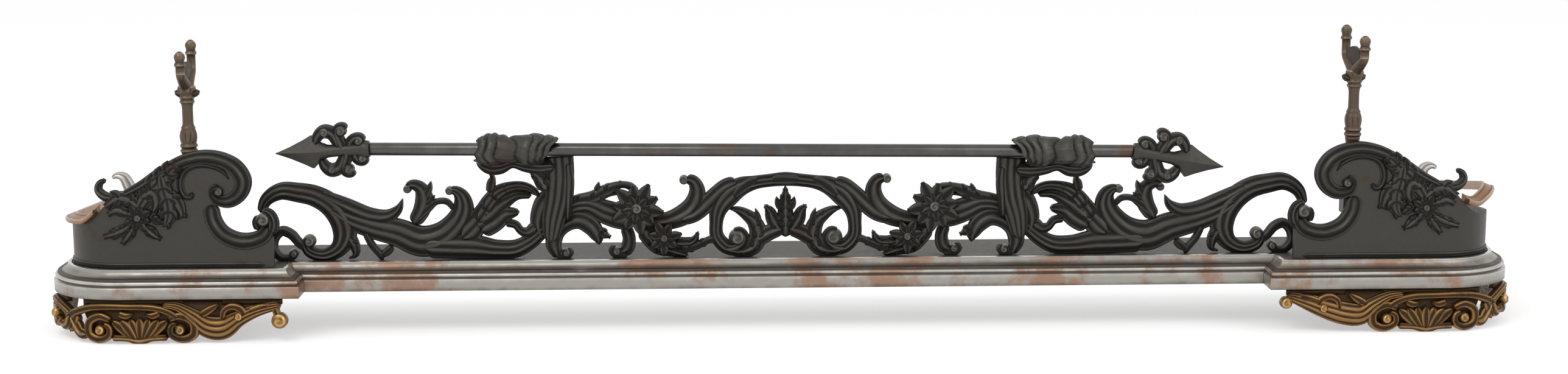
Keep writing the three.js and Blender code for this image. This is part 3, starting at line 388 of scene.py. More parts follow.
# centre lines: smooth curves through [across, up, half width] points
def smoothLine(points, step=2.0):
    def pull(a, b):
        return max(math.hypot(a[0] - b[0], a[1] - b[1]), 1e-6) ** 0.5

    ends = [[2 * points[0][i] - points[1][i] for i in range(3)],
            [2 * points[-1][i] - points[-2][i] for i in range(3)]]
    chain = [ends[0], *points, ends[1]]
    dense = []
    for i in range(1, len(chain) - 2):
        p0, p1, p2, p3 = chain[i - 1:i + 3]
        d0, d1, d2 = pull(p0, p1), pull(p1, p2), pull(p2, p3)
        for k in range(16):
            t = k / 16
            spot = []
            for axis in range(3):
                x0, x1, x2, x3 = p0[axis], p1[axis], p2[axis], p3[axis]
                m1 = ((x1 - x0) / d0 - (x2 - x0) / (d0 + d1) + (x2 - x1) / d1) * d1
                m2 = ((x2 - x1) / d1 - (x3 - x1) / (d1 + d2) + (x3 - x2) / d2) * d1
                a = 2 * x1 - 2 * x2 + m1 + m2
                b = -3 * x1 + 3 * x2 - 2 * m1 - m2
                spot.append(a * t ** 3 + b * t ** 2 + m1 * t + x1)
            dense.append(spot)
    dense.append(list(points[-1]))
    lengths = [0.0]
    for a, b in zip(dense, dense[1:]):
        lengths.append(lengths[-1] + math.hypot(b[0] - a[0], b[1] - a[1]))
    count = max(6, round(lengths[-1] / step))
    line = []
    j = 0
    for i in range(count + 1):
        want = lengths[-1] * i / count
        while j < len(lengths) - 2 and lengths[j + 1] < want:
            j += 1
        t = (want - lengths[j]) / max(lengths[j + 1] - lengths[j], 1e-9)
        line.append([dense[j][k] + (dense[j + 1][k] - dense[j][k]) * t for k in range(3)])
    return line, lengths[-1]


# a stroke with "tips" is a leaf: pointed leaflets branch from its edges
leaflet = {
    "from": 0.22, "to": 0.88, "narrowest": 1.6, "leave": 0.95, "finish": 0.45,
    "stem": 0.55, "point": 0.6, "rootHalf": 0.3, "middleHalf": 0.36, "tipHalf": 0.6,
    "step": 1.4, "lift": 0.5,
}


def leafed(stroke):
    if not isinstance(stroke, dict) or not stroke.get("tips"):
        return [stroke]
    line = smoothLine(stroke["line"], 1.0)[0]
    made = [stroke]
    last = len(line) - 1
    for k in range(stroke["tips"]):
        share = leaflet["from"] + (leaflet["to"] - leaflet["from"]) * k / max(1, stroke["tips"] - 1)
        i = round(last * share)
        before, after = line[max(0, i - 3)], line[min(last, i + 3)]
        way = math.atan2(after[1] - before[1], after[0] - before[0])
        u, v, half = line[i]
        size = max(half, leaflet["narrowest"]) * stroke["reach"]
        for edge in stroke.get("edges", (1, -1)):
            out, end = way + edge * leaflet["leave"], way + edge * leaflet["finish"]
            stem, point = size * leaflet["stem"], size * leaflet["point"]
            middle = [u + math.cos(out) * stem, v + math.sin(out) * stem]
            tip = [middle[0] + math.cos(end) * point, middle[1] + math.sin(end) * point]
            made.append(dict(
                stroke, tips=0, reeds=1, step=leaflet["step"],
                relief=-stroke.get("tipRelief", 0.8),
                lift=stroke.get("lift", 0.0) + leaflet["lift"],
                line=[[u, v, size * leaflet["rootHalf"]], [*middle, size * leaflet["middleHalf"]],
                      [*tip, leaflet["tipHalf"]]]))
    return made


# how a stroke's section follows its line
section = {"step": 2.0, "narrowest": 0.35, "bendSpan": 4.0, "bendShare": 0.85, "lowestEnd": 0.04,
           "fullFrom": 3.0, "fullReliefFrom": 5.0, "leastBody": 0.55, "wander": 0.25}


def strokeMesh(name, strokes, form):
    # the line as a chain of edges, with what the scroll tree needs kept on its points
    verts, edges = [], []
    strokes = [part for stroke in strokes for part in leafed(stroke)]
    data = {key: [] for key in ("leftWay", "halfLeft", "halfRight", "body", "crown", "relief",
                                "reeds")}
    for number, stroke in enumerate(strokes):
        own = dict(form)
        if isinstance(stroke, dict):
            own.update(stroke)
            stroke = stroke["line"]
        line, length = smoothLine(stroke, own.get("step", section["step"]))
        count = len(line)
        widest = max(point[2] for point in line)
        reeds = own.get("reeds") or max(1, round(2 * widest / own["reedWidth"]))
        first = len(verts)
        ways = []
        for i in range(count):
            a, b = line[max(0, i - 1)], line[min(count - 1, i + 1)]
            size = math.hypot(b[0] - a[0], b[1] - a[1]) or 1.0
            ways.append(((b[0] - a[0]) / size, (b[1] - a[1]) / size))
        reach = max(1, round(section["bendSpan"] / (length / (count - 1))))
        for i, (u, v, half) in enumerate(line):
            half = max(section["narrowest"], half)
            before, after = ways[max(0, i - reach)], ways[min(count - 1, i + reach)]
            span = (min(count - 1, i + reach) - max(0, i - reach)) * length / (count - 1)
            bend = (before[0] * after[1] - before[1] * after[0]) / max(span, 1e-6)
            limit = section["bendShare"] / max(abs(bend), 1e-6)
            here = length * i / (count - 1)
            rounding = max(0.5, min(half * 0.8, length * 0.3))
            rounded = 1.0
            for distance, end in ((here, "openStart"), (length - here, "openEnd")):
                if not own.get(end) and distance < rounding:
                    rounded *= math.sqrt(max(section["lowestEnd"],
                                             1 - (1 - distance / rounding) ** 2))
            fine = min(1.0, half * rounded / section["fullFrom"])
            wide = min(1.0, half / section["fullReliefFrom"])
            verts.append((u * mm, 0.0, v * mm))
            data["leftWay"].append((-ways[i][1], 0.0, ways[i][0]))
            data["halfLeft"].append((min(half, limit) if bend > 0 else half) * rounded * mm)
            data["halfRight"].append((min(half, limit) if bend < 0 else half) * rounded * mm)
            raised = own.get("lift", 0.0) + section["wander"] * math.sin(number * 2.4)
            ease = section["leastBody"] + (1 - section["leastBody"]) * fine
            data["body"].append((own["thick"] * ease + raised) * mm)
            data["crown"].append(own["crown"] * fine * mm)
            data["relief"].append(own["relief"] * wide * mm)
            data["reeds"].append(float(reeds))
        edges += [(first + i, first + i + 1) for i in range(count - 1)]
    mesh = bpy.data.meshes.new(name)
    mesh.from_pydata(verts, edges, [])
    writeAttributes(mesh, dict(data, centre=verts))
    return mesh


def writeAttributes(mesh, data):
    for key, values in data.items():
        isVector = isinstance(values[0], tuple)
        layer = mesh.attributes.new(key, "FLOAT_VECTOR" if isVector else "FLOAT", "POINT")
        flat = [c for value in values for c in value] if isVector else values
        layer.data.foreach_set("vector" if isVector else "value", flat)


def eyeMesh(name, spots, form):
    verts = [(u * mm, 0.0, v * mm) for u, v, *_ in spots]
    mesh = bpy.data.meshes.new(name)
    mesh.from_pydata(verts, [], [])
    lift = form.get("eyeLift", 0.8)
    writeAttributes(mesh, {
        "centre": verts, "radius": [spot[2] * mm for spot in spots],
        "body": [(form["thick"] + lift) * mm for _ in spots],
        "crown": [form.get("eyeDome", 2.2) * mm for _ in spots],
        "relief": [(0.8 if spot[2] > 3 else 0.2) * mm for spot in spots]})
    return mesh


# where carving is laid: flat, or bent round the corner of the fender
def layOn(base, reference=None, inset=0.0):
    bent = reference is not None
    place = {"Corner": fender["cornerX"] if bent else 9000.0, "Reference": reference or 1000.0,
             "Corner Radius": fender["cornerRadius"], "Inset": inset,
             "Face": fender["fasciaY"] if bent else 0.0, "Base": base}
    return {label: value * mm for label, value in place.items()}


flatPlace = layOn(0.0)
onFret = layOn(fender["plateTop"])
onPanel = layOn(fender["plateTop"], panel["reference"], panel["inset"])
onFoot = layOn(0.0, fender["cornerRadius"])


def runTree(mesh, tree, values, material):
    thing = bpy.data.objects.new(mesh.name, mesh)
    bpy.context.collection.objects.link(thing)
    modifier = thing.modifiers.new(tree.name, "NODES")
    modifier.node_group = tree
    settings = dict(values, Finish=material)
    for item in tree.interface.items_tree:
        if item.in_out == "INPUT" and item.name in settings:
            modifier[item.identifier] = settings[item.name]
    graph = bpy.context.evaluated_depsgraph_get()
    made = bpy.data.meshes.new_from_object(thing.evaluated_get(graph), depsgraph=graph)
    bpy.data.objects.remove(thing)
    return made


def carve(name, strokes, eyes, place, side, form, material="cast_iron"):
    values = dict(place, Side=float(side), Back=form["back"] * mm)
    made = [runTree(strokeMesh(name, strokes, form), scrollTree, values, finish[material])]
    if eyes:
        made.append(runTree(eyeMesh(name + "Eyes", eyes, form), eyeTree, values, finish[material]))
    return made


# one finished piece from one or more meshes
def finishPiece(name, meshes, node, material="cast_iron", body="fender", sharp=None):
    whole = bmesh.new()
    layer = whole.verts.layers.float.new("groove")
    for mesh in meshes:
        part = bmesh.new()
        part.from_mesh(mesh)
        bmesh.ops.recalc_face_normals(part, faces=part.faces)
        source = part.verts.layers.float.get("groove")
        matched = {v: whole.verts.new(v.co) for v in part.verts}
        for v, copy in matched.items():
            copy[layer] = v[source] if source else 0.0
        for face in part.faces:
            try:
                whole.faces.new([matched[v] for v in face.verts]).smooth = True
            except ValueError:
                continue
        part.free()
    mesh = bpy.data.meshes.new(name)
    whole.to_mesh(mesh)
    whole.free()
    if sharp:
        mesh.set_sharp_from_angle(angle=math.radians(sharp))
    mesh.materials.append(finish[material])
    piece = bpy.data.objects.new(name, mesh)
    bpy.context.collection.objects.link(piece)
    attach(piece, body)
    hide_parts(*([node] if isinstance(node, str) else node))
    return piece


# meshes made from plain rules
def fromRings(rings, closed=False, grooves=None):
    count = len(rings[0])
    verts = [tuple(c * mm for c in p) for ring in rings for p in ring]
    faces = []
    for r in range(len(rings) - 1):
        for i in range(count):
            a, b = r * count + i, r * count + (i + 1) % count
            faces.append((a, b, b + count, a + count))
    if not closed:
        faces.append(tuple(reversed(range(count))))
        faces.append(tuple(range((len(rings) - 1) * count, len(rings) * count)))
    mesh = bpy.data.meshes.new("rings")
    mesh.from_pydata(verts, [], faces)
    if grooves:
        writeAttributes(mesh, {"groove": [value for ring in grooves for value in ring]})
    mesh.update()
    return mesh


def turnedMesh(profile, sides=48, carved=None, closed=False):
    # profile: [radius, height] from the foot upwards; closed joins its last ring to its first
    def hollow(height):
        near = [p[0] for p in profile if abs(p[1] - height) <= 2.6]
        return sum(near) / len(near)

    rings, grooves = [], []
    for radius, height in profile:
        ring, marks = [], []
        for i in range(sides):
            a = 2 * math.pi * i / sides
            change = carved(a, radius, height) if carved else 0.0
            r = radius + change
            ring.append((r * math.cos(a), r * math.sin(a), height))
            # marks: painted shade where the profile dips below its neighbours, painted highlight
            # where carving stands out
            marks.append(max(-1.0, min(1.0, (hollow(height) - radius) * 0.9 - change * 1.2)))
        rings.append(ring)
        grooves.append(marks)
    if closed:
        rings.append(rings[0])
        grooves.append(grooves[0])
    mesh = fromRings(rings, closed, grooves)
    return welded(mesh) if closed else mesh


def welded(mesh):
    work = bmesh.new()
    work.from_mesh(mesh)
    bmesh.ops.remove_doubles(work, verts=work.verts, dist=1e-7)
    work.to_mesh(mesh)
    work.free()
    return mesh


def smoothProfile(points, step=1.0):
    return [[p[0], p[1]] for p in smoothLine([[r, h, 0] for r, h in points], step)[0]]


def moved(mesh, matrix):
    copy = mesh.copy()
    copy.transform(matrix)
    return copy


def shift(x, y, z):
    return Matrix.Translation((x * mm, y * mm, z * mm))


def leaned():
    z = rail["z"]
    return shift(0, 0, z) @ Matrix.Rotation(math.radians(rail["lean"]), 4, "Y") @ shift(0, 0, -z)


flipX = Matrix.Scale(-1, 4, (1, 0, 0))
turned = {-1: flipX, 1: Matrix()}
alongX = Matrix.Rotation(math.pi / 2, 4, "Y")


def around(run, inset, reference):
    turn = (run - fender["cornerX"]) / reference
    radius = fender["cornerRadius"] - inset
    bent = min(max(turn, 0.0), math.pi / 2)
    x = min(run, fender["cornerX"]) + radius * math.sin(bent)
    y = fender["fasciaY"] + fender["cornerRadius"] - radius * math.cos(bent)
    return x, y + max(0.0, turn - math.pi / 2) * reference


# steel moulding: one profile swept round the plan of the fender
moulding = {
    "fascia": 11.4, "reach": 14.5, "land": 3.0, "ledge": 8.0, "plate": 2.5, "wall": 4.0,
    "cornerSteps": 40, "beadSteps": 8, "coveSteps": 12,
}


def mouldingProfile():
    f = moulding["fascia"]
    top = fender["mouldingHeight"]
    ledgeTop = top - moulding["plate"] - fender["seam"]
    landInset = moulding["reach"] + moulding["land"]
    points = [[0.5, 0], [0, 0.5], [0, f - 0.6], [0.5, f], [2.5, f + 0.5], [2.8, f + 0.8],
              [2.8, f + 1.8]]
    for i in range(moulding["beadSteps"] + 1):
        a = math.pi * i / moulding["beadSteps"]
        points.append([2.9 - 1.7 * math.sin(a), f + 3.8 - 1.75 * math.cos(a)])
    points.append([3.8, f + 6.0])
    foot = f + 7.6
    rise = top - 0.8 - foot
    for i in range(moulding["coveSteps"] + 1):
        a = i / moulding["coveSteps"] * math.pi / 2
        points.append([3.8 + (moulding["reach"] - 4.6) * math.sin(a * 0.98),
                       foot + rise * (1 - math.cos(a))])
    points += [[moulding["reach"] - 0.6, top - 0.3], [moulding["reach"] + 0.2, top],
               [landInset - 0.4, top], [landInset, top - 0.4], [landInset, ledgeTop],
               [landInset + moulding["ledge"], ledgeTop],
               [landInset + moulding["ledge"], ledgeTop - 3],
               [landInset - moulding["wall"], ledgeTop - 3], [moulding["wall"] + 2.5, foot - 4],
               [moulding["wall"], f - 2], [moulding["wall"], 0]]
    return points


# painted light on the moulding by height: painted highlight on the fascia's top edge, the bead and
# the top, painted shade in the groove below the bead and at the foot of the cove, darker at the
# foot of the fascia
def mouldingLightAndShade(up):
    f = moulding["fascia"]
    bands = [(1.6, 0.55), (f - 1.2, 0.0), (f + 0.6, -0.5), (f + 1.9, 0.95), (f + 5.6, -0.6),
             (f + 8.4, 0.9), (f + 12.5, 0.35), (fender["mouldingHeight"] - 0.7, 0.1), (99, -1.0)]
    return next(value for high, value in bands if up <= high)


def mitredSweep(path, profile, base):
    rings = []
    for i in range(1, len(path) - 1):
        into = Vector(path[i]) - Vector(path[i - 1])
        out = Vector(path[i + 1]) - Vector(path[i])
        into.normalize()
        out.normalize()
        middle = Vector((-into.y - out.y, into.x + out.x)).normalized()
        stretch = 1 / (middle.x * -into.y + middle.y * into.x)
        way = 1 if i == 1 else (-1 if i == len(path) - 2 else 0)
        along = out if way > 0 else into
        rings.append([(
            path[i][0] + middle.x * inset * stretch + along.x * way * fender["seam"] / 2,
            path[i][1] + middle.y * inset * stretch + along.y * way * fender["seam"] / 2,
            base + up) for inset, up in profile])
    return fromRings(rings, grooves=[[mouldingLightAndShade(up) for inset, up in profile]] * len(rings))


inner, centreY, fasciaY = fender["blockInner"], fender["centreY"], fender["fasciaY"]
blockPath = [(inner - 100, centreY), (inner, centreY), (inner, fasciaY)]
for i in range(moulding["cornerSteps"] + 1):
    run = fender["cornerX"] + i / moulding["cornerSteps"] * fender["cornerRadius"] * math.pi / 2
    blockPath.append(around(run, 0, fender["cornerRadius"]))
blockPath += [(fender["halfWidth"], fender["rearY"] + fender["seam"] / 2),
              (fender["halfWidth"], fender["rearY"] + 100)]
centrePath = [(-inner, fasciaY), (-inner, centreY), (inner, centreY), (inner, fasciaY)]
profile = mouldingProfile()
finishPiece("centreMoulding", [mitredSweep(centrePath, profile, fender["footHeight"])],
            "centre_moulding", "bright_steel", sharp=32)
blockMoulding = mitredSweep(blockPath, profile, fender["footHeight"])
for label, side in bothSides:
    finishPiece(label + "BlockMoulding", [moved(blockMoulding, turned[side])],
                label + "_block_moulding", "bright_steel", sharp=32)
print("moulding: 3 lengths")


# pierced fret: each line is a scroll or leaf as [across, above the plate, half width]
fret = {
    "back": -89.0, "thick": 7.6, "crown": 1.6, "relief": -1.9, "reedWidth": 9.0,
    "eyeLift": 1.2, "eyeDome": 2.2}
wingScrolls = [
    # great end scroll, rolled under at its foot
    [[515, 48, 4], [509, 61, 6.5], [495, 69, 8.5], [478, 67.5, 9.7], [462, 64, 10.5],
     [447, 55, 11.5], [436, 40, 12.5], [434, 24, 11.5], [441, 11, 8.5], [455, 5, 6.6],
     [469, 9.5, 6], [473.5, 19, 4.5]],
    # long flowing leaf in three tongues
    {"tips": 2, "reach": 0.9, "edges": (-1,), "line": [[456, 66, 5], [432, 54, 8], [408, 44, 8],
     [392, 43, 7], [381, 50, 4.5], [376, 61, 0.5]]},
    [[446, 52, 6], [428, 41, 10], [406, 33, 12], [382, 27, 14], [358, 18, 15.5], [338, 23, 14.5],
     [323, 37, 12.5], [317, 51, 10.5], [319, 63, 7.5], [325, 68.5, 4.5], [330.5, 68, 3.5]],
    [[356, 14, 13], [332, 13, 12.5], [306, 12, 12], [285, 9.5, 9.5], [266, 10, 9], [252, 17, 8],
     [240, 27, 7], [230, 36, 7]],
    # bridge over the teardrop opening
    [[364, 40, 4], [352, 51, 4.5], [343, 57.5, 3.2], [333, 57.5, 3], [326, 50, 2.5]],
    # hooked leaf with two sharp tips
    [[366, 36, 7], [358, 49, 8.5], [355, 61, 9], [359, 71.5, 6.5], [367, 74.5, 4.8],
     [372, 71, 3.8]],
    [[355, 62, 5], [350, 71, 3.5], [348, 78, 0.5]],
    [[352, 54, 5], [347, 61, 2.5], [344.5, 64, 0.5]],
    # acanthus fronds between the leaf and the upright
    {"tips": 6, "reach": 0.95, "line": [[318, 22, 14], [306, 34, 12], [297, 46, 10], [290, 57, 9],
     [281, 66, 8], [268, 71.5, 5.5], [256, 71.5, 4.5], [247, 67, 3.5], [241, 61, 0.8]]},
    [[291, 66, 4], [289, 76, 4.5], [288, 82, 2.5], [292, 87, 0.5]],
    {"tips": 4, "reach": 0.8, "line": [[304, 32, 9], [291, 44, 8.5], [278, 55, 7], [264, 63, 4.5],
     [250, 63, 3]]},
    [[300, 28, 9], [286, 36, 9], [276, 44, 7.5], [268, 46, 5], [262, 46.5, 2.5]],
    [[276, 36, 4], [266, 34, 4], [261, 28, 4], [254, 26, 6], [244, 32, 8]],
    # sprigs under the long leaf
    {"tips": 2, "reach": 1.1, "line": [[430, 24, 7], [424, 13, 5], [424, 5, 3], [431, 2, 0.6]]},
    [[414, 28, 3], [408, 16, 3.5], [400, 6, 3.5], [397, 0, 2]],
    [[399, 4, 3], [392, 9, 4.5], [387, 14, 3]],
    # small scroll that closes the fret at its outer end
    [[482, 8, 4.2], [487, 3.5, 4], [496, 3, 4.2], [503.5, 11, 4.5], [503, 22, 5], [495, 29.5, 5],
     [486, 26, 4.8], [479, 18, 4.5], [472, 13, 5]],
    # arched scroll inside the upright
    [[224, 1, 4.5], [229, 14, 8], [226, 26, 8.5], [216, 35, 8.5], [203, 38, 9], [191, 31, 9],
     [185, 20, 6], [184, 13, 0.6]],
    {"tips": 2, "reach": 1.3, "line": [[186, 28, 6], [178, 23, 4], [172.5, 20.5, 0.5]]},
    # bands that run from the upright to the rosette
    [[228, 44, 8], [212, 51, 9], [194, 53, 9.5], [178, 46, 12], [163, 41, 12.5], [148, 38, 11]],
    {"tips": 5, "reach": 1.25, "edges": (-1,), "line": [[222, 50, 5], [206, 58, 5], [190, 61, 6],
     [176, 67.5, 6], [161, 73, 3.4], [151, 70, 4], [147.5, 60, 5]]},
    [[186, 67, 4], [184.5, 72, 2.5], [183.5, 76, 0.5]],
    [[184, 60, 4], [172, 63.5, 2], [160, 64, 1.6], [150, 63, 4]],
    # rolled ends of the two hooks
    [[224, 7, 5], [221, 3, 4.4], [216, 2.6, 4], [212.5, 6.5, 3.6], [215, 10.5, 3]],
    [[157, 6, 6], [163, 3.6, 4.5], [169, 4.2, 4], [172, 8.6, 3.4], [168, 12, 3]],
    # hanging hook beside the rosette
    [[158, 32, 6], [154.5, 19, 6.5], [157, 9, 7], [163, 6.5, 5.5]],
]
wingUpright = [[238, 20, 7], [240, 36, 12], [234, 50, 15.5], [225.5, 64, 14], [225.5, 76, 15],
               [228, 86, 15]]
wingEyes = [[468.5, 19.5, 6.5], [330, 68.5, 4.2], [371, 70.5, 4.2], [216.5, 6, 4.6],
            [167, 7, 4.6], [484, 7.5, 4.6]]
settle = {"from": 45.0, "leaf": 0.87, "scroll": 1.08, "start": 405.0, "end": 475.0}


def settled(side, point):
    u, v, *rest = point
    if side < 0:
        return [u, v, *rest]
    t = min(1.0, max(0.0, (u - settle["start"]) / (settle["end"] - settle["start"])))
    t = t * t * (3 - 2 * t)
    share = settle["leaf"] + (settle["scroll"] - settle["leaf"]) * t
    return [u, min(v, settle["from"]) + max(0.0, v - settle["from"]) * share, *rest]


def settledLine(side, stroke):
    if isinstance(stroke, dict):
        return dict(stroke, line=[settled(side, point) for point in stroke["line"]])
    return [settled(side, point) for point in stroke]


for label, side in bothSides:
    strokes = [settledLine(side, line) for line in [*wingScrolls, wingUpright]]
    spots = [settled(side, spot) for spot in wingEyes]
    finishPiece(label + "FretWing", carve(label + "Wing", strokes, spots, onFret, side, fret),
                label + "_fret_wing")
print("fret wings: 2")

centreScrolls = [
    # hooked scroll beside the rosette
    [[143, 34, 9], [130, 35, 8.5], [116, 36.5, 9], [100, 43, 10.5], [90, 54, 9.5], [87, 67, 8],
     [91, 76, 6], [98, 78.5, 4.5]],
    [[104, 38, 7], [90, 43, 8], [78, 53, 8.5], [68, 63, 8], [58, 71, 7.5], [48, 75, 6]],
    # inner frond and palmette leaves
    {"tips": 6, "reach": 0.95, "line": [[62, 9, 5.5], [46, 5.5, 5.5], [33, 9, 8], [27, 22, 9],
     [31, 35, 7.5], [40, 43, 5.5], [49, 47.5, 3], [56, 48, 0.5]]},
    [[28, 33, 5], [27.5, 41, 3], [30, 48.5, 0.5]],
    [[30, 16, 8], [16, 24, 8], [3, 29, 7]],
    {"tips": 3, "reach": 1.0, "line": [[4, 25, 6], [12, 36, 7], [16, 46, 5], [21, 52, 0.5]]},
    [[3, 48, 5], [7.5, 54, 3.5], [9, 60, 0.5]],
    # leafwork round the lower flower
    {"tips": 5, "reach": 0.95, "line": [[141, 30, 9], [134, 20, 9], [126, 11, 8], [116, 8, 7],
     [105, 4.5, 4.5], [96, 2, 1.5]]},
    {"tips": 3, "reach": 1.1, "line": [[116, 17, 8], [102, 14, 6], [91, 16, 5], [86, 26, 0.5]]},
    {"tips": 3, "reach": 1.4, "line": [[104, 9, 5], [94, 9.5, 4], [86, 12.5, 4], [76, 17, 3.5],
     [68, 19, 5]]},
    # curl at the foot of the arch, and the leaf on its shoulder
    [[61, 8, 6], [52, 8.5, 7], [44, 12.5, 6.5], [40.5, 19.5, 5], [45, 26, 4], [52, 25, 3.4]],
    {"lift": 1.4, "tips": 2, "reach": 0.9, "line": [[52, 60, 3], [43, 69, 6], [34, 75, 5],
     [26, 79, 1.5]]},
]
archSide = [[16, 76, 6.3], [30, 74, 6.8], [44, 70, 9.5], [57, 61, 11.5], [66, 48, 9],
            [68.5, 34, 6.8], [67.5, 20, 7], [57, 9.5, 7.2], [45, 11, 6]]
palmetteLeaf = {"tips": 5, "reach": 1.15, "lift": 0.8, "line": [
    [0, 20, 6], [0, 38, 8], [0, 54, 6.5], [0, 71, 0.6]]}
centreEyes = [[100, 77.5, 4.6], [48, 19.5, 8.5]]
archLine = [[-u, v, half] for u, v, half in reversed(archSide)] + [[0, 77.3, 6.8], *archSide]
meshes = []
for side in (-1, 1):
    meshes += carve("centre", centreScrolls, centreEyes, onFret, side, fret)
archTablet = {"lift": 1.2, "reeds": 1, "line": [[-14, 77, 4.6], [0, 77.4, 5.4], [14, 77, 4.6]]}
meshes += carve("arch", [archLine, archTablet, palmetteLeaf], [], onFret, 1, fret)
finishPiece("fretCentre", meshes, "fret_centre")

rosettes = {
    "large": {"middle": [146.5, 50.5], "layers": (27.5, 16.0), "petals": 10, "boss": 5.8},
    "small": {"middle": [120.0, 21.0], "layers": (18.5, 11.0), "petals": 7, "boss": 4.4},
}
rosettePetal = {"turn": 0.25, "uneven": 0.14, "lift": 0.0, "layerLift": 1.9, "oddLift": 0.7,
                "outer": {"tips": 2, "reach": 0.9},
                "shape": ((0.35, 0.2), (0.6, 0.235), (0.83, 0.15)), "root": 2.4, "point": 0.6}
petalForm = {"back": -99.7, "thick": 2.4, "crown": 1.2, "relief": -1.0, "reedWidth": 5.0,
             "eyeLift": 3.8, "eyeDome": 1.6}


def flowerPetals(flower, petal):
    # two layers of petals, longer and shorter in turn, the second over the gaps of the first
    made = []
    for layer, reach in enumerate(flower["layers"]):
        for i in range(flower["petals"]):
            a = (i + petal["turn"] + 0.5 * layer) / flower["petals"] * 2 * math.pi
            long = reach * (1 - petal["uneven"] * (1 - i % 2))
            spots = [(2, petal["root"])]
            spots += [(long * share, reach * half) for share, half in petal["shape"]]
            spots.append((long, petal["point"]))
            made.append({
                "reeds": 1, "step": 1.2,
                "lift": petal["lift"] + petal["layerLift"] * layer + petal["oddLift"] * (i % 2),
                **(petal["outer"] if layer == 0 else {}),
                "line": [[flower["middle"][0] + r * math.cos(a),
                          flower["middle"][1] + r * math.sin(a), half] for r, half in spots]})
    return made


for size, rose in rosettes.items():
    petals = flowerPetals(rose, rosettePetal)
    boss = [[*rose["middle"], rose["boss"]]]
    for label, side in bothSides:
        name = "%s_%s_rosette" % (label, size)
        finishPiece(label + size.capitalize() + "Rosette",
                    carve(name, petals, boss, onFret, side, petalForm), name)
print("fret centre and rosettes")


# rail, its leaf-bound brackets and its spearheads
bracket = {
    "inner": 220.0, "length": 84.0, "bore": 6.85, "wrap": 13.0, "wrapDepth": 3.5, "sides": 128,
    "shape": [[0, 12.2], [0.06, 13.4], [0.2, 15.0], [0.32, 15.8], [0.44, 13.4], [0.54, 13.0],
              [0.66, 13.6], [0.8, 15.8], [0.92, 14.6], [1, 11.6]],
    "strapTop": {"left": 103.4, "right": 107.0},
    "strap": {"back": -98.8, "thick": 6.2, "crown": 1.4, "relief": -0.9, "reedWidth": 7.0},
    "belly": {"back": -99.8, "thick": 10.0, "crown": 1.6, "relief": -1.4, "reedWidth": 5.0},
}


def sleeveMesh():
    # folds of leaf wound round the rail, with a ragged open cup at both ends
    length, bore = bracket["length"], bracket["bore"]
    outer = smoothProfile([[r, s * length] for s, r in bracket["shape"]], 0.7)
    profile = [*outer, [outer[-1][0] - 1.3, length - 0.3], [bore, length - 9], [bore, 9],
               [outer[0][0] - 1.3, 0.3]]
    rings, grooves = [], []
    for number, (radius, height) in enumerate(profile):
        share = height / length
        ring, marks = [], []
        for i in range(bracket["sides"]):
            a = 2 * math.pi * i / bracket["sides"]
            below = 0.5 + 0.5 * math.cos(a)
            ragged = abs(math.sin(2.5 * a))
            spot = height + (1 - share) ** 3 * (15 * below + 3.0 * ragged)
            spot -= share ** 3 * (3.5 * (1 - below) + 3.0 * ragged)
            # the inside and the ends are painted in shade
            mark, change = 0.9, 0.0
            if number < len(outer):
                phase = height / bracket["wrap"] + 0.62 * math.cos(a - 0.8) + 0.28 * math.sin(2 * a)
                phase += 0.45 * math.sin(7.5 * share + 1.2 * math.sin(a))
                lobe = abs(math.sin(math.pi * phase)) ** 0.55
                vein = 0.14 * math.sin(16 * a + 5 * phase)
                swell = 0.75 + 0.25 * math.sin(3 * a + 9 * share)
                ease = min(1.0, 0.25 + share / 0.1, 0.25 + (1 - share) / 0.1)
                change = ((lobe - 0.74) * bracket["wrapDepth"] * swell + vein) * ease
                # painted highlight on the crowns of the folds, painted shade between them
                mark = max(-1.0, min(1.0, 0.95 - 1.3 * lobe))
            r = max(radius + change, bore + 0.9) if number < len(outer) else radius
            ring.append((r * math.cos(a), r * math.sin(a), spot))
            marks.append(mark)
        rings.append(ring)
        grooves.append(marks)
    return welded(fromRings([*rings, rings[0]], True, [*grooves, grooves[0]]))


sleeve = sleeveMesh()
for label, side in bothSides:
    onRail = leaned() @ turned[side] @ shift(bracket["inner"], rail["y"], rail["z"]) @ alongX
    strap = [{"openEnd": True, "reeds": 4, "line": [
                 [231, 18, 7], [228, 40, 11.5], [223, 62, 13.5], [221, 84, 14],
                 [222, bracket["strapTop"][label], 14.5]]},
             {"reeds": 2, "lift": 0.8, "line": [[214, 40, 2], [213, 60, 4.5], [212, 80, 5],
                                                [213, 97, 3.5]]},
             {"tips": 3, "reach": 1.1, "lift": 0.6, "line": [[234, 70, 8], [241, 82, 7],
                                                             [249, 90, 3]]}]
    belly = [{"tips": 6, "reach": 0.8, "edges": (1,), "line": [
        [226, 94, 6], [240, 93, 7.5], [254, 94.5, 6.5], [267, 97, 5], [279, 93.5, 7.5],
        [289, 93.5, 7.5], [297, 97, 5], [301.5, 101, 1.5]]}]
    meshes = [moved(sleeve, onRail)]
    meshes += carve(label + "Strap", [settledLine(side, line) for line in strap],
                    [], onFret, side, bracket["strap"])
    meshes += carve(label + "Belly", [settledLine(side, line) for line in belly], [],
                    onFret, side, bracket["belly"])
    finishPiece(label + "RailBracket", meshes, label + "_rail_bracket")

hole, skin, length = rail["bore"] / 2, rail["diameter"] / 2, rail["right"] - rail["left"]
tube = turnedMesh([[hole, 0], [skin - 0.4, 0], [skin, 0.5], [skin, length - 0.5],
                   [skin - 0.4, length], [hole, length]], 64, closed=True)
onRail = leaned() @ shift(rail["left"], rail["y"], rail["z"]) @ alongX
finishPiece("railTube", [moved(tube, onRail)], "rail_tube", "rail_steel", "rail", sharp=40)

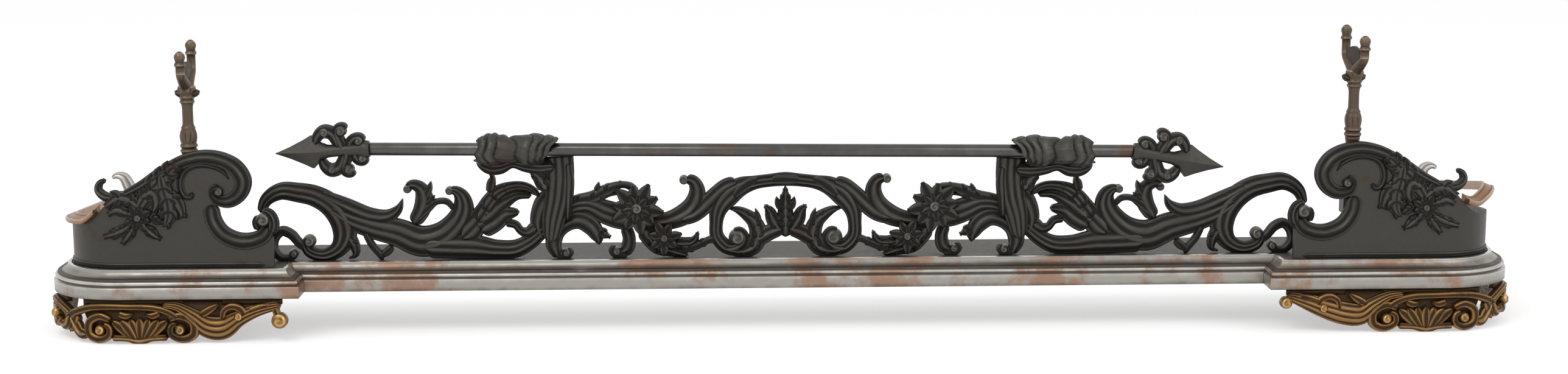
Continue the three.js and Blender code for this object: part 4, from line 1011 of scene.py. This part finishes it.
head = {
    "length": 91.0, "droop": {"left": 3.0, "right": 9.7}, "lowerShift": -5.0, "sides": 24,
    # share of the length, half height, half thickness, sharpness
    "stations": [[0, 8, 8, 0], [0.03, 8.8, 8.8, 0], [0.07, 8.6, 8.4, 0], [0.11, 6.8, 6.8, 0],
                 [0.3, 5.6, 5.6, 0], [0.44, 6.4, 5.8, 0.3], [0.52, 9.5, 6.2, 0.7],
                 [0.6, 16.3, 6.5, 1], [0.62, 16.0, 6.5, 1], [0.7, 12.0, 5.4, 1],
                 [0.84, 6.0, 3.5, 1], [0.97, 1.3, 1.0, 1], [1, 0.5, 0.5, 1]],
    "curl": {"back": 4.6, "thick": 8.8, "crown": 1.2, "relief": -1.2, "reedWidth": 4.5,
             "eyeLift": 1.4, "eyeDome": 1.6},
}


def bladeMesh():
    rings = []
    for share, high, thick, sharpness in head["stations"]:
        ring = []
        power = 1 + sharpness
        for i in range(head["sides"]):
            a = 2 * math.pi * i / head["sides"]
            s, c = math.sin(a), math.cos(a)
            ring.append((share * head["length"],
                         thick * math.copysign(abs(c) ** power, c),
                         high * math.copysign(abs(s) ** power, s)))
        rings.append(ring)
    return fromRings(rings)


blade = bladeMesh()
curlLines = [
    [[30, 4, 5], [32, 11, 6], [36, 17, 6.6], [43, 19, 6.8], [49, 15, 5.6], [52, 8, 4]],
    [[26, 1, 6], [29, 9, 6.2], [31, 16, 5.6], [29, 21.5, 5], [24.5, 22.6, 4.6], [22, 19.5, 4]],
    [[20, 2, 6], [17.5, 8, 5.6], [13, 11, 5.4], [8.4, 11, 4.8], [6.4, 7, 4.2]],
]
curlEyes = [[42.5, 18, 5], [26.5, 18.8, 5.4], [10, 8.5, 5]]
for label, side, start in (("left", -1, rail["left"] - 0.3), ("right", 1, rail["right"] + 0.3)):
    arms, eyes = [], []
    for up in (1, -1):
        away = head["lowerShift"] if up < 0 else 0.0
        arms += [{"reeds": 2, "step": 1.0, "line": [
            [along + away * min(1.0, along / 20), high * up, half] for along, high, half in line]}
            for line in curlLines]
        eyes += [[along + away * min(1.0, along / 20), high * up, size]
                 for along, high, size in curlEyes]
    droop = Matrix.Rotation(math.radians(head["droop"][label]), 4, "Y")
    place = leaned() @ shift(start, rail["y"], rail["z"]) @ turned[side] @ droop
    meshes = [blade] + carve(label + "Curls", arms, eyes, flatPlace, 1, head["curl"])
    finishPiece(label + "Spearhead", [moved(mesh, place) for mesh in meshes],
                label + "_spearhead", body=label + "_head", sharp=28)
print("rail, brackets and spearheads")


# scroll end panels with their garlands
volute = [[640, 71.5, 4], [621, 81, 5.5], [606, 91, 6], [592, 99, 6.5], [577, 105.5, 6.8],
          [560, 108.3, 7.2], [544, 105.6, 7.6], [531, 98, 8], [524, 85, 8], [528.5, 72, 7.4],
          [539, 65.5, 6.8], [550.5, 68, 5.4], [553, 76, 4.6], [547, 80.5, 3.8]]
innerRoll = [[537, 86, 1], [543, 94.5, 2.4], [555, 100, 3], [569, 100.4, 3.4], [579, 95.5, 3.6],
             [583.5, 87, 3.8], [583.8, 78, 3.8], [580, 70.5, 3.6], [574.5, 70, 3.2],
             [573, 75, 2.6]]
innerBead = [[633, 68, 1.5], [617, 76.5, 2.2], [602, 86.5, 2.4], [590, 94.5, 2.4],
             [580, 98.5, 1.5]]
lowerBorder = [[556, 62, 7.6], [554, 47, 8], [546, 34, 8.3], [532, 26.8, 8.3], [518, 26.5, 8],
               [506.5, 31.5, 7.5], [501, 41, 6.5]]
budLeaves = [[[500, 33, 6], [497.5, 43, 6.5], [500.5, 52, 5.5], [507, 56, 3.5]], [[511, 37, 4],
             [513.5, 45, 3.6], [511, 51, 2.6]]]
topHook = [[632, 73, 5], [646, 69.5, 5], [658, 70.5, 4.6], [665, 77, 3.8], [662.5, 84, 2.8],
           [657, 86.5, 2.4]]
voluteEye, borderEye = [547.5, 75, 4.6], [506, 47, 7]
sheetOutline = [[497, 0.3], [497, 30], [508, 27], [522, 24], [536, 27], [546, 34], [553, 44],
                [554, 57], [549, 64], [540, 67], [531, 74], [525, 86], [532, 101], [545, 108],
                [560, 110], [577, 106], [592, 99], [606, 90], [622, 79], [632, 74]]
panelForms = {
    "border": {"back": 4.0, "thick": 8.4, "crown": 0.9, "relief": -2.2, "reedWidth": 6.5,
               "eyeLift": 1.2, "eyeDome": 1.8},
    "low": {"back": 4.0, "thick": 6.6, "crown": 0.7, "relief": -1.5, "reedWidth": 5.0,
            "eyeLift": 1.4, "eyeDome": 2.0},
    "bead": {"back": 0.6, "thick": 1.9, "crown": 0.5, "relief": -0.3, "reedWidth": 9.0},
    "garland": {"back": -0.3, "thick": 2.4, "crown": 2.0, "relief": -0.7, "reedWidth": 6.5,
                "eyeLift": 2.6, "eyeDome": 1.8},
}


def panelTop(run):
    first, dipRun = fender["cornerX"] - 6, fender["cornerX"] + 42
    if run < first:
        return panel["rise"]
    if run < dipRun:
        t = (run - first) / (dipRun - first)
        return panel["rise"] + (panel["dip"] - panel["rise"]) * t * t * (3 - 2 * t)
    t = (run - dipRun) / (panelEnd - dipRun)
    return panel["dip"] + (panel["rear"] - panel["dip"]) * t


def panelPoint(run, v, deep):
    x, y = around(run, panel["inset"] + deep, panel["reference"])
    return (x, y, fender["plateTop"] + v)


def sheetMesh():
    # one outline from the scroll end round the corner to the wall, filled, cut and wrapped
    start, steps = panel["topStart"], panel["topSteps"]
    top = [start + i * (panelEnd - start) / steps for i in range(1, steps + 1)]
    outline = sheetOutline + [[run, panelTop(run)] for run in top] + [[panelEnd, 0.3]]
    flat = bmesh.new()
    corners = [flat.verts.new((run, v, 0)) for run, v in outline]
    for triangle in tessellate_polygon([[Vector((run, v, 0)) for run, v in outline]]):
        flat.faces.new([corners[i] for i in triangle])
    for i in range(panel["cornerSteps"] + 1):
        run = fender["cornerX"] + (sideStart - fender["cornerX"]) * i / panel["cornerSteps"]
        bmesh.ops.bisect_plane(flat, geom=[*flat.verts, *flat.edges, *flat.faces], dist=1e-4,
                               plane_co=(run, 0, 0), plane_no=(1, 0, 0))
    bmesh.ops.recalc_face_normals(flat, faces=flat.faces)
    work = bmesh.new()
    skins = [{v: work.verts.new([c * mm for c in panelPoint(v.co.x, v.co.y, deep)])
              for v in flat.verts} for deep in (0.0, panel["thickness"])]
    for face in flat.faces:
        work.faces.new([skins[0][v] for v in face.verts])
        work.faces.new([skins[1][v] for v in reversed(face.verts)])
    for edge in flat.edges:
        if len(edge.link_faces) == 1:
            a, b = edge.verts
            work.faces.new([skins[0][a], skins[0][b], skins[1][b], skins[1][a]])
    mesh = bpy.data.meshes.new("sheet")
    work.to_mesh(mesh)
    work.free()
    flat.free()
    return mesh


sheet = sheetMesh()
garlandTipRelief = 0.45
garlandFlower = {"middle": [626, 50], "layers": (15.5, 9.5), "petals": 8, "boss": 4.2}
garlandPetal = {"turn": 0.4, "uneven": 0.16, "lift": 1.2, "layerLift": 1.5, "oddLift": 0.4,
                "outer": {}, "shape": ((0.35, 0.22), (0.64, 0.27), (0.85, 0.17)),
                "root": 2.2, "point": 0.7}
garlandLeaves = [
    {"tips": 5, "reach": 1.5, "line": [[626, 58, 6], [616, 73, 9], [604, 86, 9], [593, 96, 7],
     [583, 104, 2]]},
    {"tips": 4, "reach": 1.4, "lift": 0.9, "line": [[602, 92, 5], [600, 78, 8], [596, 62, 8.5],
     [597, 48, 6], [602, 41, 1]]},
    {"tips": 2, "reach": 1.5, "lift": 0.4, "line": [[597, 76, 5], [589, 66, 7], [584, 55, 4.5],
     [583, 49, 1]]},
    {"tips": 3, "reach": 1.5, "lift": 0.4, "line": [[624, 60, 5], [634, 68, 7], [645, 69, 6.5],
     [657, 60, 1.5]]},
    {"tips": 2, "reach": 1.5, "lift": 0.9, "line": [[622, 70, 5], [611, 75, 7], [607, 65, 6],
     [611, 55, 1.5]]},
    {"tips": 2, "reach": 1.4, "lift": 0.3, "line": [[634, 54, 5], [645, 58, 6], [655, 53, 1]]},
    {"tips": 3, "reach": 1.4, "line": [[632, 45, 4], [641, 38, 5.2], [651, 34, 4.4],
     [661, 31, 1]]},
    {"tips": 2, "reach": 1.5, "line": [[630, 41, 4], [637, 31, 4.8], [642, 24.5, 1]]},
    {"tips": 2, "reach": 1.5, "line": [[620, 42, 4], [613, 35, 5.4], [605, 29, 1]]},
    {"tips": 2, "reach": 1.1, "lift": 0.5, "line": [[612, 52, 4], [607, 47, 4.4], [601, 45, 1]]},
]
baseBead = {"step": 5.0, "reeds": 1, "line": [[506, 3, 2.6], [600, 3, 2.6], [700, 3, 2.6],
                                              [panelEnd - 4, 3, 2.6]]}
for label, side in bothSides:
    meshes = [moved(sheet, turned[side])]
    for form, strokes, eyes in (
            ("border", [dict(line=volute, reeds=2)], [voluteEye]),
            ("border", [dict(line=lowerBorder, reeds=2)], [borderEye]),
            ("low", [innerRoll, topHook, innerBead, *budLeaves], []),
            ("bead", [baseBead], [])):
        meshes += carve(label + "Panel", strokes, eyes, onPanel, side, panelForms[form])
    finishPiece(label + "EndPanel", meshes, label + "_end_panel", sharp=50)
    leaves = [dict(leaf, tipRelief=garlandTipRelief) for leaf in garlandLeaves]
    leaves += flowerPetals(garlandFlower, garlandPetal)
    finishPiece(label + "Garland", carve(
        label + "Leaves", leaves, [[*garlandFlower["middle"], garlandFlower["boss"]]],
        onPanel, side, panelForms["garland"]), label + "_panel_garland")
print("end panels and garlands: 2 of each")


# cap rails along the sides, and the leaf that curls from the wall end of each
cap = {"start": fender["cornerX"] + 23, "height": 9.0, "spring": 19.0,
       "springRun": fender["cornerX"] + 85, "seat": 16.0, "steps": 110}
seatRun = panelEnd - cap["seat"]


def capRail(side):
    h = cap["height"]
    # how far inwards, how high, and its groove value, which paints shade in the hollows and a
    # highlight on the top edges
    outline = [(-5.2, 0, 0.6), (-6.0, 0.8, 0.3), (-6.6, 2.8, -0.4), (-6.5, 4.2, -1),
               (-5.8, 5.0, -1), (-4.9, 5.0, -0.6), (-4.2, 4.4, 0.7), (-2.6, 5.2, 0.2),
               (-0.6, 6.2, 0), (1.6, 7.0, 0.2), (2.8, 7.3, 0.7), (3.4, h - 0.6, -0.5),
               (4.2, h, -1), (5.1, h - 0.2, -1), (5.6, h - 1.2, -0.4), (5.6, 0, 0.3)]
    rings = []
    for i in range(cap["steps"] + 1):
        run = cap["start"] + (panelEnd - cap["start"]) * i / cap["steps"]
        lift = 0.0
        if side > 0:
            rising = math.sin(min(1, (run - cap["start"]) / (cap["springRun"] - cap["start"]))
                              * math.pi / 2)
            falling = (seatRun - run) / (seatRun - cap["springRun"])
            lift = cap["spring"] * max(0.0, min(rising, falling))
        base = panelTop(run) + 0.3 + lift
        rings.append([panelPoint(run, base + up, deep) for deep, up, wearAndLight in outline])
    return fromRings(rings, grooves=[[wearAndLight for deep, up, wearAndLight in outline]] * len(rings))


hook = {"across": 701.0, "fromWall": 13.0, "seatFromWall": 8.0, "seat": 0.4,
        "back": 10.0, "thick": 8.2, "crown": 0.8, "relief": -0.5, "reedWidth": 6.0, "step": 0.8}
for label, side in bothSides:
    finishPiece(label + "CapRail", [moved(capRail(side), turned[side])], label + "_cap_rail",
                "copper_cap", sharp=42)
    leaf = carve(label + "Hook", [{"openStart": True, "line": [
        [-0.5, 0.2, 6.5], [2, 6, 6.2], [5, 11.6, 5.4], [9.5, 14.2, 4.2], [14, 14, 3.2],
        [17.5, 11.5, 2]]}], [], flatPlace, 1, hook, "pale_steel")
    up = (fender["plateTop"] + panelTop(panelEnd - hook["seatFromWall"]) + cap["height"]
          + hook["seat"])
    back = around(panelEnd - hook["fromWall"], 0, panel["reference"])[1]
    place = turned[side] @ shift(hook["across"], back, up)
    finishPiece(label + "RearHook", [moved(mesh, place) for mesh in leaf],
                label + "_rear_hook", "pale_steel")
print("cap rails and rear hooks")


# forked tool rests
rest = {
    "across": {"left": 577.0, "right": 555.0}, "raise": {"left": 0.0, "right": 8.0},
    "yaw": {"left": 3.0, "right": 11.5}, "y": -115.5, "base": 141.5, "spread": 20.0,
    "farRise": 7.5, "prong": 4.2,
    "shaft": [[0.01, -26], [3.6, -26], [4, -25.4], [4, 0.8], [5.8, 1.2], [6.4, 2.0], [6.5, 18],
              [6.6, 34], [7.2, 37], [7.2, 39.4], [8.1, 40.2], [8.4, 41.4], [8.0, 42.6], [7.2, 43.2],
              [7.2, 44.4], [8.1, 45.2], [8.4, 46.4], [8.0, 47.6], [7.3, 48.4], [7.7, 51], [8.1, 55],
              [7.7, 59], [6.7, 62.6], [6.9, 63.8], [6.1, 65], [5.4, 67], [5.1, 75], [5.3, 84],
              [6.2, 87.4], [7.0, 88.2], [7.2, 89.4], [6.5, 90.4], [6.4, 91.6], [7.3, 92.6],
              [7.6, 93.8], [6.9, 95], [6.8, 96.2], [7.9, 98.4], [8.5, 101], [8.2, 103.6],
              [6.8, 105.4], [0.01, 106]],
    "leafBands": [[49, 62, 9, 0.9], [97, 104, 8, 0.7], [66, 84, 10, 0.28]],
    "web": {"back": 2.4, "thick": 4.4, "crown": 0.6, "relief": -1.0, "reedWidth": 5.0,
            "eyeLift": 0.0, "eyeDome": 0.5},
}


def rodMesh(points, radii, sides=20):
    line = [Vector(p) for p in points]
    dense, sizes = [], []
    for i in range(len(line) - 1):
        p0 = line[max(0, i - 1)]
        p1, p2 = line[i], line[i + 1]
        p3 = line[min(len(line) - 1, i + 2)]
        for k in range(8):
            t = k / 8
            dense.append(0.5 * ((2 * p1) + (p2 - p0) * t + (2 * p0 - 5 * p1 + 4 * p2 - p3) * t * t
                                + (3 * p1 - p0 - 3 * p2 + p3) * t ** 3))
            sizes.append(radii[i] + (radii[i + 1] - radii[i]) * t)
    dense.append(line[-1])
    sizes.append(radii[-1])
    rings = []
    for i, spot in enumerate(dense):
        way = (dense[min(len(dense) - 1, i + 1)] - dense[max(0, i - 1)]).normalized()
        side = Vector((1, 0, 0))
        up = way.cross(side).normalized()
        rings.append([tuple(spot + (side * math.cos(a) + up * math.sin(a)) * sizes[i])
                      for a in (2 * math.pi * k / sides for k in range(sides))])
    return fromRings(rings)


def leafBand(a, radius, height):
    for low, high, lobes, depth in rest["leafBands"]:
        if low < height < high:
            ease = math.sin((height - low) / (high - low) * math.pi) ** 0.5
            return (abs(math.sin(lobes * a / 2)) ** 0.6 - 0.7) * depth * ease
    return 0.0


sideways = Matrix.Rotation(math.pi / 2, 4, "Z")
for label, side in bothSides:
    base, top = rest["shaft"][:5], rest["shaft"][-1:]
    shaft = turnedMesh(base + smoothProfile(rest["shaft"][5:-1], 0.6) + top, 72, leafBand)
    meshes = [shaft]
    for way in (1, -1):
        rise = rest["farRise"] if way > 0 else 0.0
        s = rest["spread"] * way
        meshes.append(rodMesh([(0, 0, 101), (0, 7 * way, 107), (0, 14 * way, 112),
                               (0, s * 0.97, 117), (0, s, 124)], [6.0, 5.6, 4.8, 4.2, 4.2]))
        r = rest["prong"]
        finial = [[0.01, 117], [r, 117.2], [r, 124.6 + rise], [5.2, 125.4 + rise],
                  [5.6, 126.5 + rise], [5.0, 127.8 + rise], [4.2, 129 + rise], [4.6, 131 + rise],
                  [5.4, 133.5 + rise], [4.9, 135.8 + rise], [3.4, 138 + rise], [1.6, 139.2 + rise],
                  [0.01, 139.5 + rise]]
        meshes.append(moved(turnedMesh(finial, 32), shift(0, s, 0)))
    webs = carve(label + "Web", [[[0, 100, 5], [0, 108, 10], [0, 116, 14], [0, 124, 14.5],
                                  [0, 127.5, 11]]], [], flatPlace, 1, rest["web"], "brown_bronze")
    wings = carve(label + "Wings", [[[-12, 99, 2], [-7, 97, 4], [7, 97, 4], [12, 99, 2]]], [],
                  flatPlace, 1, dict(rest["web"], back=3.0, thick=5.4), "brown_bronze")
    meshes += [moved(mesh, sideways) for mesh in webs] + wings
    yaw = Matrix.Rotation(math.radians(rest["yaw"][label]), 4, "Z")
    place = turned[side] @ shift(
        rest["across"][label], rest["y"], rest["base"] + rest["raise"][label]) @ yaw
    finishPiece(label + "ToolRest", [moved(mesh, place) for mesh in meshes],
                label + "_tool_rest", "brown_bronze", label + "_rest", sharp=40)
print("tool rests: 2")


# gilt apron feet round the corners, and the turned feet at the wall
foot = {"back": 5.4, "thick": 7.2, "crown": 1.0, "relief": -1.7, "reedWidth": 6.2,
        "eyeLift": 1.2, "eyeDome": 1.8, "fanMiddle": 624.5, "fanPetals": 7,
        "top": fender["footHeight"] - fender["seam"]}
footScrolls = [
    # arch over the fan, two spirals, the base line and the corner leaf
    {"lift": 0.5, "line": [[700, 25, 4.5], [690, 29.5, 4], [673, 34.5, 3.6], [655, 36, 3.4],
     [634, 35.6, 3.2], [611, 34.5, 3.4], [597, 30.5, 3.6], [587, 24, 3.6]]},
    {"lift": 0.4, "line": [[652, 23, 3.4], [663, 26.5, 4], [675, 20, 4.5], [675, 8, 4.6],
     [664, 3.9, 4.2], [654.5, 8.5, 3.7], [654.5, 16, 3.2], [660, 19.5, 2.8]]},
    {"lift": 0.4, "line": [[597, 23, 3.4], [586, 26.5, 4], [573.5, 20, 4.5], [573.5, 8, 4.6],
     [584, 3.9, 4.2], [594.5, 8.5, 3.7], [594.5, 16, 3.2], [589, 19.5, 2.8]]},
    {"lift": 0, "line": [[652, 5.5, 3.4], [636, 4.5, 3.2], [625, 2.5, 5], [614, 4.5, 3.2],
     [598, 5.5, 3.4]]},
    {"lift": 0, "line": [[698, 24, 4], [693, 15, 6.5], [687, 8.5, 6], [679, 8, 5]]},
    # return of the apron along the side
    {"lift": 0.4, "line": [[700, 26, 4.5], [712, 31, 4], [730, 35, 4], [750, 34, 4], [768, 26, 6],
     [786, 13.5, 10.5], [804, 14, 10], [822, 27, 6.5], [846, 36, 4.5]]},
    {"lift": 0.5, "line": [[720, 29, 3.6], [733, 32.5, 4], [744, 26, 4.4], [742, 16, 4.4],
     [731, 13, 4.2], [723, 19, 3.6]]},
    {"lift": 0, "line": [[702, 24, 4], [707, 16, 6], [714, 13, 5], [722, 15, 4]]},
]
footEyes = [[663, 13, 5.2], [586, 13, 5.2], [732, 22.5, 6]]
footLeaflets = [
    {"tips": 2, "reach": 1.1, "lift": 0.6, "line": [[566, 27, 4], [556, 33, 4], [548, 38, 1.5]]},
    {"tips": 2, "reach": 1.1, "lift": 0.6, "line": [[604, 30, 3], [612, 27, 3.6], [619, 29, 1]]},
    {"tips": 2, "reach": 1.1, "lift": 0.6, "line": [[645, 30, 3], [637, 27, 3.6], [630, 29, 1]]},
    {"tips": 2, "reach": 1.0, "lift": 0.6, "line": [[520, 30, 4], [508, 34, 4], [497, 37, 1.5]]},
    {"tips": 3, "reach": 1.2, "lift": 0.5, "line": [[690, 26, 4], [696, 17, 4.5], [703, 9, 1.5]]},
]
footLeaf = {
    "left": [
        {"lift": 0, "line": [[602, 37.5, 3.5], [588, 35, 5], [574, 26, 8], [560, 15.5, 11],
         [546, 14, 11.5], [530, 23, 8], [512, 31, 6.2], [489, 36.5, 4.2]]},
        {"lift": 0.5, "line": [[545, 23, 3], [543.5, 31, 3.4], [536, 35.5, 3.6], [527, 32.5, 4],
         [523.5, 26, 4]]},
        {"lift": 0.5, "line": [[495, 35, 4], [493, 28, 3.4], [491, 22, 4]]},
    ],
    "right": [
        {"lift": 0, "line": [[602, 37.5, 3.5], [588, 35, 5], [574, 27, 8], [561, 17.5, 11],
         [546, 18, 11.5], [528, 23, 10.5], [511, 29, 8.5], [488, 36.5, 4.2]]},
        {"lift": 0.5, "line": [[539, 22, 3], [537.5, 31, 3.4], [530, 35.5, 3.6], [521, 32.5, 4],
         [517.5, 26, 4]]},
    ],
}
footLeafEyes = {
    "left": [[529.5, 25.5, 4.6], [490.5, 21, 8]],
    "right": [[523.5, 24, 4.6], [487, 29.5, 6]],
}
# a fan of petals: how far each point leans out, its height, its drop at the sides, half width
fanPetal = [[3, 2.6, 0, 2.8], [6.2, 9, 0, 4.2], [9.4, 15.5, 0, 5], [12, 21.5, 0.8, 3.6],
            [13.5, 25.5, 1.4, 1]]
fan = []
for i in range(foot["fanPetals"]):
    lean = (i - (foot["fanPetals"] - 1) / 2) * 4 / (foot["fanPetals"] - 1)
    fan.append({"reeds": 1, "relief": -1.5, "lift": -0.8 + (i % 2) * 0.9, "step": 1.4, "line": [
        [foot["fanMiddle"] + lean * out, up - abs(lean) * drop, half]
        for out, up, drop, half in fanPetal]})


# dark sheets behind the casting, painted all in shade: a lip under the moulding and a web behind
# the scrolls, where the openings show shadow
footShadeSheets = {
    "lips": [[488, 546], [583, 682], [708, 848]], "lipLow": 36.5, "lipDeep": [3.4, 8.0],
    "web": [[489, 37], [505, 34], [520, 28], [535, 20], [550, 14], [562, 14], [574, 7], [590, 5],
            [624, 4], [660, 5], [671, 7], [677, 16], [684, 30]],
    "webDeep": [3.6, 5.4],
}


def shadeSheet(lows, deeps):
    start, end = lows[0][0], lows[-1][0]
    steps = max(2, round((end - start) / 3))
    rings = []
    for i in range(steps + 1):
        run = start + (end - start) * i / steps
        for (r0, v0), (r1, v1) in zip(lows, lows[1:]):
            if r0 <= run <= r1:
                low = v0 + (v1 - v0) * (run - r0) / (r1 - r0)
        rings.append([(*around(run, deep, fender["cornerRadius"]), up) for deep, up in (
            (deeps[0], low), (deeps[1], low), (deeps[1], foot["top"]), (deeps[0], foot["top"]))])
    # groove 1 all over: these sheets take the painted shade colour
    return fromRings(rings, grooves=[[1.0] * 4] * len(rings))


def cropped(mesh, low, high):
    work = bmesh.new()
    work.from_mesh(mesh)
    for height, way in ((low, -1), (high, 1)):     # cut level, and closed again
        cut = bmesh.ops.bisect_plane(
            work, geom=[*work.verts, *work.edges, *work.faces], dist=1e-7,
            plane_co=(0, 0, height * mm), plane_no=(0, 0, way), clear_outer=True)
        loose = [e for e in cut["geom_cut"] if isinstance(e, bmesh.types.BMEdge)]
        bmesh.ops.holes_fill(work, edges=loose, sides=0)
    bmesh.ops.remove_doubles(work, verts=work.verts, dist=1e-7)
    work.to_mesh(mesh)
    work.free()
    return mesh


for label, side in bothSides:
    eyes = footEyes + footLeafEyes[label]
    meshes = carve(label + "Foot", footScrolls + footLeaf[label] + footLeaflets + fan, eyes,
                   onFoot, side, foot, "gilt_brass")
    meshes = [cropped(mesh, 0.0, foot["top"]) for mesh in meshes]
    plates = [shadeSheet([[a, footShadeSheets["lipLow"]], [b, footShadeSheets["lipLow"]]], footShadeSheets["lipDeep"])
              for a, b in footShadeSheets["lips"]]
    plates.append(shadeSheet(footShadeSheets["web"], footShadeSheets["webDeep"]))
    meshes += [moved(plate, turned[side]) for plate in plates]
    finishPiece(label + "ApronFoot", meshes, label + "_apron_foot", "gilt_brass")

wallFoot = {
    "radius": 9.0, "fromWall": 22.0, "sides": 40,
    "shape": [[6.4, 0], [7.6, 1.6], [8.5, 4], [7, 9], [5, 20], [5.4, 32], [8.2, 36.5], [9, 38.5]],
}
turnedFoot = turnedMesh([[0.01, 0], *smoothProfile(wallFoot["shape"]),
                         [wallFoot["radius"], foot["top"]], [0.01, foot["top"]]],
                        wallFoot["sides"])
for label, side in bothSides:
    place = shift(side * (fender["halfWidth"] - wallFoot["radius"]),
                  fender["rearY"] - wallFoot["fromWall"], 0)
    finishPiece(label + "WallFoot", [moved(turnedFoot, place)], label + "_wall_foot", sharp=40)
print("feet: 4")

# solids that keep their CAD shape
kept = {"centre_base_plate": "black_plate"}
for label, side in bothSides:
    kept.update({label + "_block_base_plate": "black_plate", label + "_rest_socket": "cast_iron",
                 label + "_head_spigot": "rail_steel"})
for node, look in kept.items():
    for slot in bpy.data.objects[node].material_slots:
        slot.material = finish[look]

# camera, floor and light
view = {"x": -0.065, "y": -2.3983, "z": 0.5044, "pitch": 9.0, "yaw": -1.58, "roll": 0.2,
        "lens": 54.4, "sensor": 36.0}
camera = bpy.data.cameras.new("camera")
camera.lens = view["lens"]
camera.sensor_width = view["sensor"]
camera.clip_end = 50
eye = bpy.data.objects.new("camera", camera)
eye.matrix_world = (Matrix.Translation((view["x"], view["y"], view["z"]))
                    @ Matrix.Rotation(math.radians(view["yaw"]), 4, "Z")
                    @ Matrix.Rotation(math.radians(90 - view["pitch"]), 4, "X")
                    @ Matrix.Rotation(math.radians(-view["roll"]), 4, "Z"))
bpy.context.collection.objects.link(eye)
bpy.context.scene.camera = eye
bpy.context.scene.view_settings.view_transform = "Standard"

studio = {"floor": (0.86, 0.86, 0.86), "floorHalf": 30.0, "floorTop": -0.0006, "floorGlow": 0.44,
          "sky": 0.62, "key": 22.0, "fill": 10.0}


def seenDirectly(tree):
    seen = addNode(tree, "ShaderNodeLightPath").outputs
    return atLeast(atLeast(seen["Is Camera Ray"], seen["Is Glossy Ray"]),
                   seen["Is Transmission Ray"])


floorMesh = bpy.data.meshes.new("floor")
floorMesh.from_pydata([(x * studio["floorHalf"], y * studio["floorHalf"], studio["floorTop"])
                       for x, y in ((-1, -1), (1, -1), (1, 1), (-1, 1))], [], [(0, 1, 2, 3)])
floor = bpy.data.objects.new("floor", floorMesh)
bpy.context.collection.objects.link(floor)
paper = bpy.data.materials.new("palePaper")
paper.use_nodes = True
tree = paper.node_tree
tree.nodes.clear()
plain = addNode(tree, "ShaderNodeBsdfDiffuse", {"Color": (*studio["floor"], 1.0)})
glow = addNode(tree, "ShaderNodeEmission", {"Color": (1, 1, 1, 1), "Strength": studio["floorGlow"]})
unseen = addNode(tree, "ShaderNodeEmission", {"Color": (0, 0, 0, 1), "Strength": 0.0})
lit = addNode(tree, "ShaderNodeMixShader", {
    0: seenDirectly(tree), 1: unseen.outputs[0], 2: glow.outputs[0]})
both = addNode(tree, "ShaderNodeAddShader", {0: plain.outputs[0], 1: lit.outputs[0]})
addNode(tree, "ShaderNodeOutputMaterial", {"Surface": both.outputs[0]})
floorMesh.materials.append(paper)

world = bpy.data.worlds.new("studio")
bpy.context.scene.world = world
world.use_nodes = True
tree = world.node_tree
tree.nodes.clear()
dim = addNode(tree, "ShaderNodeBackground", {"Color": (1, 1, 1, 1), "Strength": studio["sky"]})
white = addNode(tree, "ShaderNodeBackground", {"Color": (1, 1, 1, 1), "Strength": 1.0})
mixed = addNode(tree, "ShaderNodeMixShader", {
    0: seenDirectly(tree), 1: dim.outputs[0], 2: white.outputs[0]})
addNode(tree, "ShaderNodeOutputWorld", {"Surface": mixed.outputs[0]})


def softLamp(name, place, aim, size, power):
    lamp = bpy.data.lights.new(name, "AREA")
    lamp.shape = "RECTANGLE"
    lamp.size, lamp.size_y = size
    lamp.energy = power
    thing = bpy.data.objects.new(name, lamp)
    thing.location = place
    thing.rotation_euler = (Vector(aim) - Vector(place)).to_track_quat("-Z", "Y").to_euler()
    bpy.context.collection.objects.link(thing)


softLamp("key", (-1.2, -1.8, 2.2), (0, 0, 0.1), (2.0, 1.2), studio["key"])
softLamp("fill", (1.8, -1.6, 1.4), (0, 0, 0.1), (1.6, 1.2), studio["fill"])
print("camera, floor and lamps")
